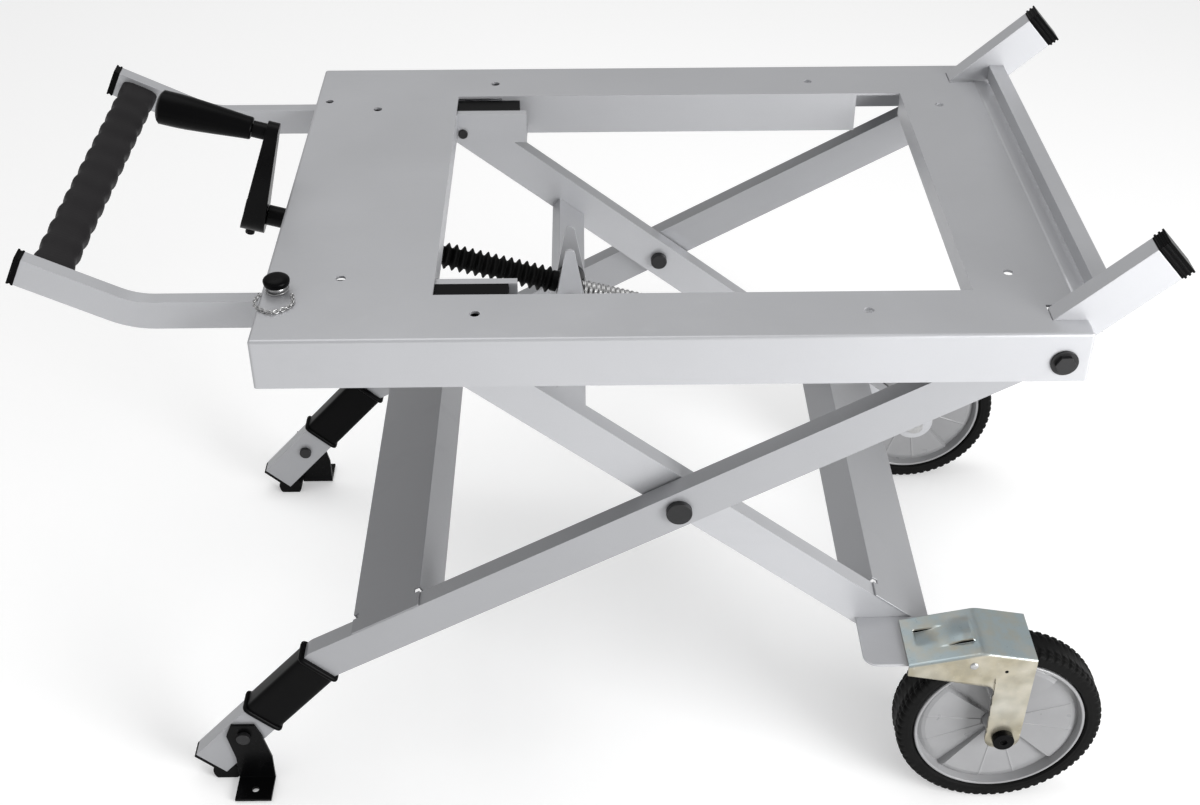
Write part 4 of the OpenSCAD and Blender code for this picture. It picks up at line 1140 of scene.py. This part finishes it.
@dataclass
class Wheel(Assembly):
    """One wheel: a knobbed tyre on a moulded disc with four shallow fans."""

    side: Side
    knobs: int = 70
    rows: int = 6
    tread: float = 1.1 * MM
    across_power: float = 0.42
    out_power: float = 0.55
    shoulder: float = 0.9 * MM
    knob_shares: tuple[float, ...] = (0.04, 0.2, 0.62, 0.82)
    row_shares: tuple[float, ...] = (0.02, 0.2, 0.8, 0.98)
    crown_shares: tuple[float, float] = (0.15, 0.7)
    shoulder_share: float = 0.8
    stagger: float = 0.5
    weave: float = 0.2
    ring_depth: float = 0.5 * MM
    ring_shares: tuple[tuple[float, float], ...] = ((0.15, 0.07), (0.62, 0.1))
    fans: int = 4
    fan_turn: float = 48.0
    fan_rise: float = 8.0 * MM
    fan_shares: tuple[float, ...] = (0, 0.32, 0.62, 0.985, 1.0)
    climb_shares: tuple[float, ...] = (0.0, 0.55, 0.8, 1.0, 0.0)
    crease: float = 0.6 * MM
    crease_share: float = 0.009
    low_share: float = 0.35
    calm_share: float = 0.9
    face_sink: float = 3.2 * MM
    face_start: float = 4 * MM
    face_end: float = 1.2 * MM
    hub: float = 13 * MM
    hub_out: float = 18 * MM
    hub_edge: float = 1 * MM
    hub_draft: float = 1.5 * MM
    bore: float = 6.1 * MM
    lip: float = 3.4 * MM
    lip_places: tuple[tuple[float, float], ...] = ((0, 3.0 * MM), (0.5 * MM, 0.4 * MM), (1.1 * MM, 0))
    rim_edge: float = 0.8 * MM
    line: Line = field(init=False)

    def __post_init__(self) -> None:
        """Takes the wheel's axis from its joint, pointing outward."""
        self.line = Line.out_from(joint(f"wheel_{self.side.value}_spin")["pos_m"], self.side)

    def make(self) -> None:
        """Makes the tyre and the disc."""
        self._tyre()
        self._disc()

    def _tyre(self) -> None:
        """A rounded section carried round the axle, with rows of knobs on the tread.

        The section is a superellipse between the rim's seat and the tread. Knobs stand out by the
        tread's depth, each row set half a step from the next and woven a little, and the outer rows
        reach over the shoulder. The side wall keeps two fine rings.
        """
        node = f"tyre_{self.side.value}"
        low, high = corners(node)
        half_w, outer = (high[1] - low[1]) / 2, (high[2] - low[2]) / 2
        inner = corners(f"wheel_disc_{self.side.value}")[1][2] - self.line.origin[2]
        v = circle(96) - math.pi / 2
        turn, across = pairs(circle(self.knobs * 12), swell(np.cos(v), self.across_power))
        out = np.broadcast_to(swell(np.sin(v), self.out_power), turn.shape)
        mid, half = (outer - self.tread + inner) / 2, (outer - self.tread - inner) / 2
        place = (across + 1) / 2 * self.rows
        row = np.clip(np.floor(place), 0, self.rows - 1)
        shift = row * self.stagger + self.weave * np.sin(row * 2.1 + across * 5)
        knob = hill((turn * self.knobs / (2 * math.pi) + shift) % 1.0, *self.knob_shares)
        edge = (row == 0) | (row == self.rows - 1)
        gap = hill(place - row, *self.row_shares)
        gap = np.where(edge & (np.abs(across) > self.shoulder_share), 1.0, gap)
        raised = knob * gap * ease(out, *self.crown_shares)
        rings = self.ring_depth * sum(np.exp(-((out + at) / wide) ** 2) for at, wide in self.ring_shares)
        r = mid + half * out + self.tread * raised
        s = across * (half_w - self.shoulder) + np.sign(across) * (rings + self.ring_depth * raised * edge)
        mesh = surface(f"{node}_tread", self.line.at(s, r, turn), loop_u=True)
        show(f"{node}.tread", mesh, TYRE, node, 50)

    def _fan(self, share: np.ndarray, turn: np.ndarray) -> np.ndarray:
        """Height of the disc's face: flat facets that climb round the hub and drop at each fan's end.

        Args:
            share: Share of the way from the hub to the rim.
            turn: Angle from the first fan's edge.

        Returns:
            The height over the face's lowest level.
        """
        t = (-turn * self.fans / (2 * math.pi)) % 1.0
        climb = np.interp(t, self.fan_shares, self.climb_shares)
        crease = sum(np.exp(-((t - c) / self.crease_share) ** 2) for c in self.fan_shares[1:3])
        grow = self.low_share + (1 - self.low_share) * share
        face = self.fan_rise * climb * grow + self.crease * crease
        return face * (1 - 0.55 * ease(share, self.calm_share, 1.0))

    def _disc(self) -> None:
        """A rim with a raised lip, a hub and a fan face on each side, as one profile carried round."""
        node = f"wheel_disc_{self.side.value}"
        low, high = corners(node)
        half = (high[1] - low[1]) / 2
        rim = high[2] - self.line.origin[2]
        base = half - self.fan_rise - self.face_sink
        turn = circle(self.fans * 100)
        face_r = np.linspace(self.hub + self.face_start, rim - self.lip - self.face_end, 18)
        share = (face_r - face_r[0]) / (face_r[-1] - face_r[0])
        face = base + self._fan(share[:, None], turn[None, :])
        hub, top = self.hub, self.hub_out
        inner_r = np.array([self.bore, hub - self.hub_edge, hub, hub + self.hub_draft])
        inner_s = np.array([top, top, top - self.hub_edge, base])
        lip_in, lip_sunk = np.array(self.lip_places).T
        outer_r = rim - np.concatenate([self.lip - lip_in, [self.rim_edge, 0]])
        outer_s = half - np.concatenate([lip_sunk, [0, self.rim_edge]])
        ring = np.ones_like(turn)
        half_r = np.concatenate([inner_r, face_r, outer_r])[:, None] * ring
        half_s = np.concatenate([inner_s[:, None] * ring, face, outer_s[:, None] * ring])
        r = np.concatenate([half_r, half_r[::-1]])
        s = np.concatenate([half_s, -half_s[::-1]])
        grid_t = np.repeat(turn[None], len(r), 0) + math.radians(self.fan_turn)
        mesh = surface(f"{node}_fan", self.line.at(s, r, grid_t), loop_u=True)
        show(f"{node}.fan", mesh, DISC, node, 6)


@dataclass
class Crank(Assembly):
    """The lift screw, its bellows and bearing, the cast arm and its grip."""

    rib_count: int = 26
    rib_depth: float = 4.6 * MM
    rib_power: float = 1.2
    cuff: float = 6 * MM
    cuff_share: float = 0.35
    overlap: float = 20 * MM
    reach: float = 44 * MM
    reach_nut: float = 40 * MM
    tube_gap: float = 0.15 * MM
    tube_gap_nut: float = 0.35 * MM
    lead: float = 5 * MM
    thread: float = 1.1 * MM
    thread_steep: float = 1.6
    rod_share: float = 0.8
    rod_end_shares: tuple[float, float] = (0.88, 0.75)
    rod_end: float = 1 * MM
    edge: float = 0.8 * MM
    dome: float = 7 * MM
    barrel_shares: tuple[tuple[float, float], ...] = ((0.08, 1.0), (0.3, 0.995), (0.55, 0.89), (0.82, 0.75),
                                                      (1.0, 0.66))
    barrel_gap: float = 0.7 * MM
    barrel_edge: float = 2 * MM
    barrel_bore: float = 4.3 * MM
    dome_power: float = 0.85
    window: int = 13
    line: Line = field(init=False)

    def __post_init__(self) -> None:
        """Takes the screw's axis from the crank's joint."""
        self.line = Line.of_joint("crank_turn")

    def make(self) -> None:
        """Makes the bearing, nut, arm and hub nut, then the bellows, the grip and the screw."""
        soften_all(DARK, Edge.ROUND, "swivel_block")
        soften_all(DARK, Edge.SOFT, "nut_block")
        softened("crank_arm", COAT_BLACK, Edge.CAST, 3, 30)
        soften_all(DARK, Edge.SOFT, "crank_hub_nut")
        self._bellows()
        self._grip()
        self._screw()

    def _bellows(self) -> None:
        """Round ribs: the radius follows a sharpened cosine between root and crest.

        One half rides the bearing and the other half the nut, and a smooth inner tube in each half
        reaches into the other, so that the screw stays covered while the nut travels.
        """
        s, r = self.line.polar("bellows")
        start, end, crest = float(s.min()), float(s.max()), float(r.max())
        root = crest - self.rib_depth
        s = np.linspace(start, end, self.rib_count * 10 + 1)
        phase = (s - start - self.cuff) / (end - start - 2 * self.cuff) * self.rib_count
        wave = (0.5 - 0.5 * np.cos(2 * math.pi * phase)) ** self.rib_power
        inside = (phase > 0) & (phase < self.rib_count)
        r = root + (crest - root) * np.where(inside, wave, self.cuff_share)
        half = len(s) // 2
        middle = float(s[half])
        first = revolve("bellows_ribs", self.line, s[:half + 1], r[:half + 1], 48)
        show("bellows.ribs", first, RUBBER, "bellows", 80)
        second = revolve("bellows_ribs_nut", self.line, s[half:], r[half:], 48)
        show("bellows.ribs_nut", second, RUBBER, "nut_block", 80, stands=False)
        self._tube("tube", "bellows", middle - self.overlap, middle + self.reach, root - self.tube_gap)
        self._tube("tube_nut", "nut_block", middle - self.reach_nut, middle + self.overlap,
                   root - self.tube_gap_nut)

    def _tube(self, name: str, node: str, low: float, high: float, radius: float) -> None:
        """One inner tube of the bellows.

        Args:
            name: The tube's name.
            node: The node whose body it rides.
            low: Where it starts along the screw.
            high: Where it ends.
            radius: Its radius.
        """
        s = np.array([low, low, high, high])
        mesh = revolve(f"bellows_{name}", self.line, s, np.array([0.97, 1, 1, 0.97]) * radius, 48)
        show(f"bellows.{name}", mesh, RUBBER, node, 30, stands=False)

    def _grip(self) -> None:
        """A barrel: a rounded free end, then a width that narrows to the arm, with a rounded edge there."""
        line = Line.of_joint("grip_spin")
        s, r = line.polar("crank_grip")
        start, end, crest = float(s.min()), float(s.max()), float(r.max()) - self.barrel_gap
        a = quarter(14)[:-1]
        dome_s = start + self.dome * (1 - np.cos(a))
        dome_r = np.maximum(crest * np.sin(a) ** self.dome_power, 0.05 * MM)
        knots = np.array(self.barrel_shares)
        share = np.linspace(knots[0, 0], 1.0, 60)
        body = np.interp(share, knots[:, 0], knots[:, 1])
        body = np.pad(body, self.window // 2, mode="edge")
        body = np.convolve(body, np.ones(self.window) / self.window, "valid")
        body_s = start + share * (end - start) - self.barrel_edge
        b = quarter(7)[1:]
        end_s = end - self.barrel_edge * (1 - np.sin(b))
        end_r = crest * body[-1] - self.barrel_edge * (1 - np.cos(b))
        s = np.concatenate([dome_s, body_s, end_s, [end - Edge.FINE.value]])
        r = np.concatenate([dome_r, crest * body, end_r, [self.barrel_bore]])
        show("crank_grip.barrel", revolve("grip_barrel", line, s, r), BLACK, "crank_grip", 50)

    def _screw(self) -> None:
        """A rod with a rounded thread, and the shaft's sleeve.

        The thread's radius follows a wave along the helix, cut off flat at its crests and roots.
        """
        s, r = self.line.polar("lift_screw")
        start, end, wide = float(s.min()), float(s.max()), float(r.max())
        sleeve = s[r > 0.95 * wide]
        first, last = float(sleeve.min()), float(sleeve.max())
        rod, edge = wide * self.rod_share, self.edge
        thread = np.arange(last - 2 * self.rod_end, end - 2 * self.rod_end, self.lead / 10)
        s = np.concatenate([[start, start + edge], thread, [end - self.rod_end, end]])
        grid_s, turn = pairs(s, circle(40))
        wave = np.cos(2 * math.pi * (grid_s / self.lead) - turn)
        r = rod - self.thread * (0.5 - 0.5 * np.clip(wave * self.thread_steep, -1, 1))
        r[0], r[1] = rod - edge, rod
        r[-2:] = rod * np.array(self.rod_end_shares)[:, None]
        mesh = surface("screw_thread", self.line.at(grid_s, r, turn))
        show("lift_screw.thread", mesh, STEEL, "lift_screw", 45)
        s = np.array([first, first, first + edge, last - edge, last, last])
        r = np.array([rod * 0.9, wide - edge, wide, wide, wide - edge, rod * 0.9])
        show("lift_screw.sleeve", revolve("screw_sleeve", self.line, s, r), COAT_BLACK, "lift_screw", 30)


@dataclass
class Handle(Assembly):
    """The pull handle: two tubes, their caps and the scalloped grip."""

    scallops: int = 12
    scallop_depth: float = 2.2 * MM
    squareness: float = 0.55
    rib_depth: float = 0.35 * MM
    rib_pitch: float = 4 * MM
    rib_share: float = 0.75

    def make(self) -> None:
        """Makes the tubes, their caps and the grip."""
        soften_all(PAINT, Edge.ROUND, *both("handle_tube"))
        softened("handle_caps", BLACK, Edge.CAP, 3)
        self._grip()

    def _grip(self) -> None:
        """A rounded bar across the stand whose edges dip in a row of scallops, with fine ribs between."""
        slant = Slant.of("handle_grip")
        low, high = (corner[1] for corner in corners("handle_grip"))
        y, turn = pairs(np.linspace(low, high, self.scallops * 16 + 1), circle(48))
        phase = (y - low) / (high - low) * (self.scallops + 1) - 0.5
        dip = np.where((phase > 0) & (phase < self.scallops), np.sin(math.pi * phase) ** 2, 0)
        cos = np.cos(turn)
        a = swell(cos, self.squareness) * (slant.half[0] - self.scallop_depth * dip)
        b = swell(np.sin(turn), self.squareness) * slant.half[1]
        wave = np.cos(y / self.rib_pitch * 2 * math.pi) * (np.abs(cos) < self.rib_share)
        b = b + np.sign(b) * self.rib_depth * (wave - 1)
        show("handle_grip.bar", surface("grip_bar", slant.at(a, b, y)), GRIP, "handle_grip", 60)


@dataclass
class LockPin(Assembly):
    """The lock pin with its collar and domed knob, a wire ring round the collar, and the fine chain."""

    collar: float = 8.4 * MM
    collar_high: float = 6 * MM
    collar_edge: float = 0.9 * MM
    shank: float = 4 * MM
    tip: float = 1.2 * MM
    knob: float = 11.8 * MM
    knob_powers: tuple[float, float, float] = (1.1, 0.7, 0.55)
    waist_share: float = 0.78
    waist_high_share: float = 0.55
    wire: float = 0.6 * MM
    ring_gap: float = 1.4 * MM
    ring_high: float = 2.2 * MM
    ring_tilt: float = 1.2 * MM
    loop_wide: float = 14 * MM
    loop_long: float = 30 * MM
    loop_swing: float = 0.3
    aim_step: float = 0.3 * MM
    pitch: float = 3.2 * MM
    link_shares: tuple[float, float] = (0.85, 0.5)
    link_wire: float = 0.55 * MM
    line: Line = field(init=False)

    def __post_init__(self) -> None:
        """Stands the pin's axis on the table top."""
        low, high = corners("lock_pin")
        origin = np.array([(low[0] + high[0]) / 2, (low[1] + high[1]) / 2, corners("table_top")[1][2]])
        self.line = Line(origin, Z_AXIS, np.array([1.0, 0, 0]))

    def make(self) -> None:
        """Makes the chain, the pin, the knob and the ring."""
        self._chain()
        self._pin()
        self._knob()
        self._ring()

    def _pin(self) -> None:
        """The shank's tip, the shank and a collar with rounded edges, as one profile."""
        low = corners("lock_pin")[0][2] - self.line.origin[2]
        edge, high = self.collar_edge, self.collar_high
        s = np.array([low, low + self.tip, 0.02 * MM, 0.03 * MM, edge, high - edge, high])
        r = np.array([self.shank - self.tip, self.shank, self.shank, self.collar - edge, self.collar,
                      self.collar, self.collar - edge])
        show("lock_pin.collar", revolve("pin_collar", self.line, s, r), STEEL, "lock_pin", 50)

    def _knob(self) -> None:
        """A waist, a full round edge and a low dome."""
        top = corners("lock_pin")[1][2] - self.line.origin[2]
        a = np.linspace(-math.pi / 2, math.pi / 2, 25)
        mid = self.collar_high + (top - self.collar_high) * self.waist_high_share
        rise, below, above = self.knob_powers
        s = mid + np.where(a < 0, mid - self.collar_high, top - mid) * swell(np.sin(a), rise)
        waist = self.waist_share + (1 - self.waist_share) * np.cos(a) ** below
        r = self.knob * np.where(a < 0, waist, np.maximum(np.cos(a), 1e-3) ** above)
        show("lock_pin.knob", revolve("pin_knob", self.line, s, r), BLACK, "lock_pin", 60)

    def _chain(self) -> None:
        """Fine links laid along a loop on the table top, each rolled a quarter turn from the last.

        The loop leaves the collar on one side, swings out toward the near edge and comes back on the
        other side. A link is an ellipse of round wire, set at equal steps along the loop.
        """
        share = np.linspace(0, math.pi, 600)
        path = np.stack([-self.loop_wide * np.cos(share) * (1 + self.loop_swing * np.sin(3 * share)),
                         -self.collar - self.loop_long * np.sin(share) ** 0.8], -1)
        length = np.concatenate([[0], np.cumsum(np.linalg.norm(np.diff(path, axis=0), axis=1))])
        count = int(length[-1] / self.pitch)
        place = (np.arange(count) + 0.5) * self.pitch
        at, ahead = (np.stack([np.interp(p, length, path[:, i]) for i in range(2)], -1)
                     for p in (place, place + self.aim_step))
        ahead = ahead - at
        along = np.concatenate([ahead / np.linalg.norm(ahead, axis=1)[:, None], np.zeros((count, 1))], 1)
        roll = (np.where(np.arange(count) % 2, 1, -1) * math.pi / 4)[:, None]
        side = np.cos(roll) * np.cross(Z_AXIS, along) + np.sin(roll) * Z_AXIS
        up = np.cross(along, side)
        u = circle(20)[None, :, None, None]
        v = circle(8)[None, None, :, None]
        along, side, up = (w[:, None, None, :] for w in (along, side, up))
        half, wide = (share * self.pitch for share in self.link_shares)
        out = np.cos(u) * along * wide + np.sin(u) * side * half
        out = out / np.hypot(np.cos(u) * wide, np.sin(u) * half)
        ring = half * np.cos(u) * along + wide * np.sin(u) * side
        wire = self.link_wire * (np.cos(v) * out + np.sin(v) * up)
        high = wide * math.sin(math.pi / 4) + self.link_wire
        centre = self.line.origin + np.concatenate([at, np.full((count, 1), high)], 1)
        points = centre[:, None, None, :] + ring + wire
        index = np.arange(points[..., 0].size).reshape(points.shape[:3])
        turned, onward = np.roll(index, -1, 2), np.roll(index, -1, 1)
        quads = np.stack([onward, np.roll(turned, -1, 1), turned, index], -1).reshape(-1, 4)
        mesh = bpy.data.meshes.new("chain_links")
        mesh.from_pydata(points.reshape(-1, 3), [], quads.tolist())
        outward(mesh)
        show("pin_chain.links", mesh, STEEL, "pin_chain", 60)

    def _ring(self) -> None:
        """A wire ring that lies tilted round the collar."""
        u, v = pairs(circle(64), circle(12))
        r = self.collar + self.ring_gap + self.wire * np.cos(v)
        s = self.ring_high + self.ring_tilt * np.cos(u - 1.0) + self.wire * np.sin(v)
        mesh = surface("pin_ring", self.line.at(s, r, u), loop_u=True)
        show("lock_pin.ring", mesh, STEEL, "lock_pin", 60, stands=False)


# Studio

@dataclass(frozen=True)
class Lamp:
    """A square soft lamp that shines at the middle of the object."""

    name: str
    place: tuple[float, float, float]
    size: float
    power: float
    aim: tuple[float, float, float] = (0, 0, 0.35)

    def make(self) -> None:
        """Adds the lamp to the scene."""
        data = bpy.data.lights.new(self.name, "AREA")
        data.size = self.size
        data.energy = self.power
        obj = bpy.data.objects.new(self.name, data)
        bpy.context.scene.collection.objects.link(obj)
        obj.location = self.place
        ray = Vector(self.aim) - Vector(self.place)
        obj.rotation_euler = ray.to_track_quat("-Z", "Y").to_euler()


@dataclass(frozen=True)
class Studio:
    """Floor, soft lamps, plain surroundings and the camera at the photograph's view."""

    camera_at: tuple[float, float, float] = (-0.0040, -1.4212, 1.3182)
    yaw: float = 0.601
    pitch: float = 35.655
    roll: float = 0.208
    focal_px: float = 1653.36
    sensor: float = 36.0
    world: float = 0.50
    floor_reach: float = 14.0
    floor: float = 0.86
    glow: float = 0.23
    lamps: tuple[Lamp, ...] = (Lamp("front", (1.75, -1.65, 0.9), 1.2, 60),
                               Lamp("over", (-0.6, 0.6, 3.2), 2.6, 34),
                               Lamp("left", (-2.8, -1.6, 1.8), 1.8, 4))

    def make(self) -> None:
        """Builds the floor, the world and the lamps round the object."""
        self._floor()
        self._world()
        for lamp in self.lamps:
            lamp.make()

    def _floor(self) -> None:
        """A pale floor whose glow only the camera and mirror-like surfaces see.

        It rides a floor bracket, so that it stays under the feet when the legs turn.
        """
        mesh = bpy.data.meshes.new("floor")
        reach = self.floor_reach
        mesh.from_pydata([(-reach, -reach, 0), (reach, -reach, 0), (reach, reach, 0), (-reach, reach, 0)],
                         [], [(0, 1, 2, 3)])
        obj = bpy.data.objects.new("floor", mesh)
        bpy.context.scene.collection.objects.link(obj)
        g = Graph("floor")
        light = g.node("ShaderNodeLightPath", {}, {}).outputs
        seen = Value(g, light["Is Camera Ray"]) + light["Is Glossy Ray"] + light["Is Transmission Ray"]
        g.dress(Base_Color=(self.floor, self.floor, self.floor, 1), Roughness=0.9, Specular_IOR_Level=0.1,
                Emission_Color=(1.0, 1.0, 1.0, 1), Emission_Strength=seen.above(0, 1) * self.glow)
        mesh.materials.append(g.material)
        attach(obj, frame["nodes"]["foot_bracket_near"]["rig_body"])

    def _world(self) -> None:
        """Plain white surroundings at a low strength."""
        world = bpy.data.worlds.new("studio")
        bpy.context.scene.world = world
        world.use_nodes = True
        back = world.node_tree.nodes["Background"]
        back.inputs["Color"].default_value = (1.0, 1.0, 1.0, 1)
        back.inputs["Strength"].default_value = self.world

    def camera(self) -> None:
        """Sets the camera at the photograph's view, from its yaw, pitch and roll."""
        yaw, pitch, roll = (math.radians(a) for a in (self.yaw, self.pitch, self.roll))
        forward = Vector((math.sin(yaw) * math.cos(pitch), math.cos(yaw) * math.cos(pitch), -math.sin(pitch)))
        right = Vector((math.cos(yaw), -math.sin(yaw), 0))
        down = forward.cross(right)
        right, down = (right * math.cos(roll) + down * math.sin(roll),
                       down * math.cos(roll) - right * math.sin(roll))
        data = bpy.data.cameras.new("camera")
        data.sensor_width = self.sensor
        data.lens = self.focal_px / IMAGE_SIZE[0] * self.sensor
        obj = bpy.data.objects.new("camera", data)
        bpy.context.scene.collection.objects.link(obj)
        turn = Matrix((right, -down, -forward)).transposed()
        obj.matrix_world = Matrix.Translation(self.camera_at) @ turn.to_4x4()
        bpy.context.scene.camera = obj


def main() -> None:
    """Makes every sub-assembly and the studio."""
    logging.basicConfig(level=logging.INFO, format="%(name)s: %(message)s")
    scene = bpy.context.scene
    scene.view_settings.view_transform = "Standard"
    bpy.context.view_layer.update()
    studio = Studio()
    studio.camera()
    for assembly in (Table(), Scissor(), Wheel(Side.NEAR), Wheel(Side.FAR), Crank(), Handle(), LockPin()):
        assembly.make()
        log.info("made %s", type(assembly).__name__)
    studio.make()


if __name__ == "__main__":
    main()
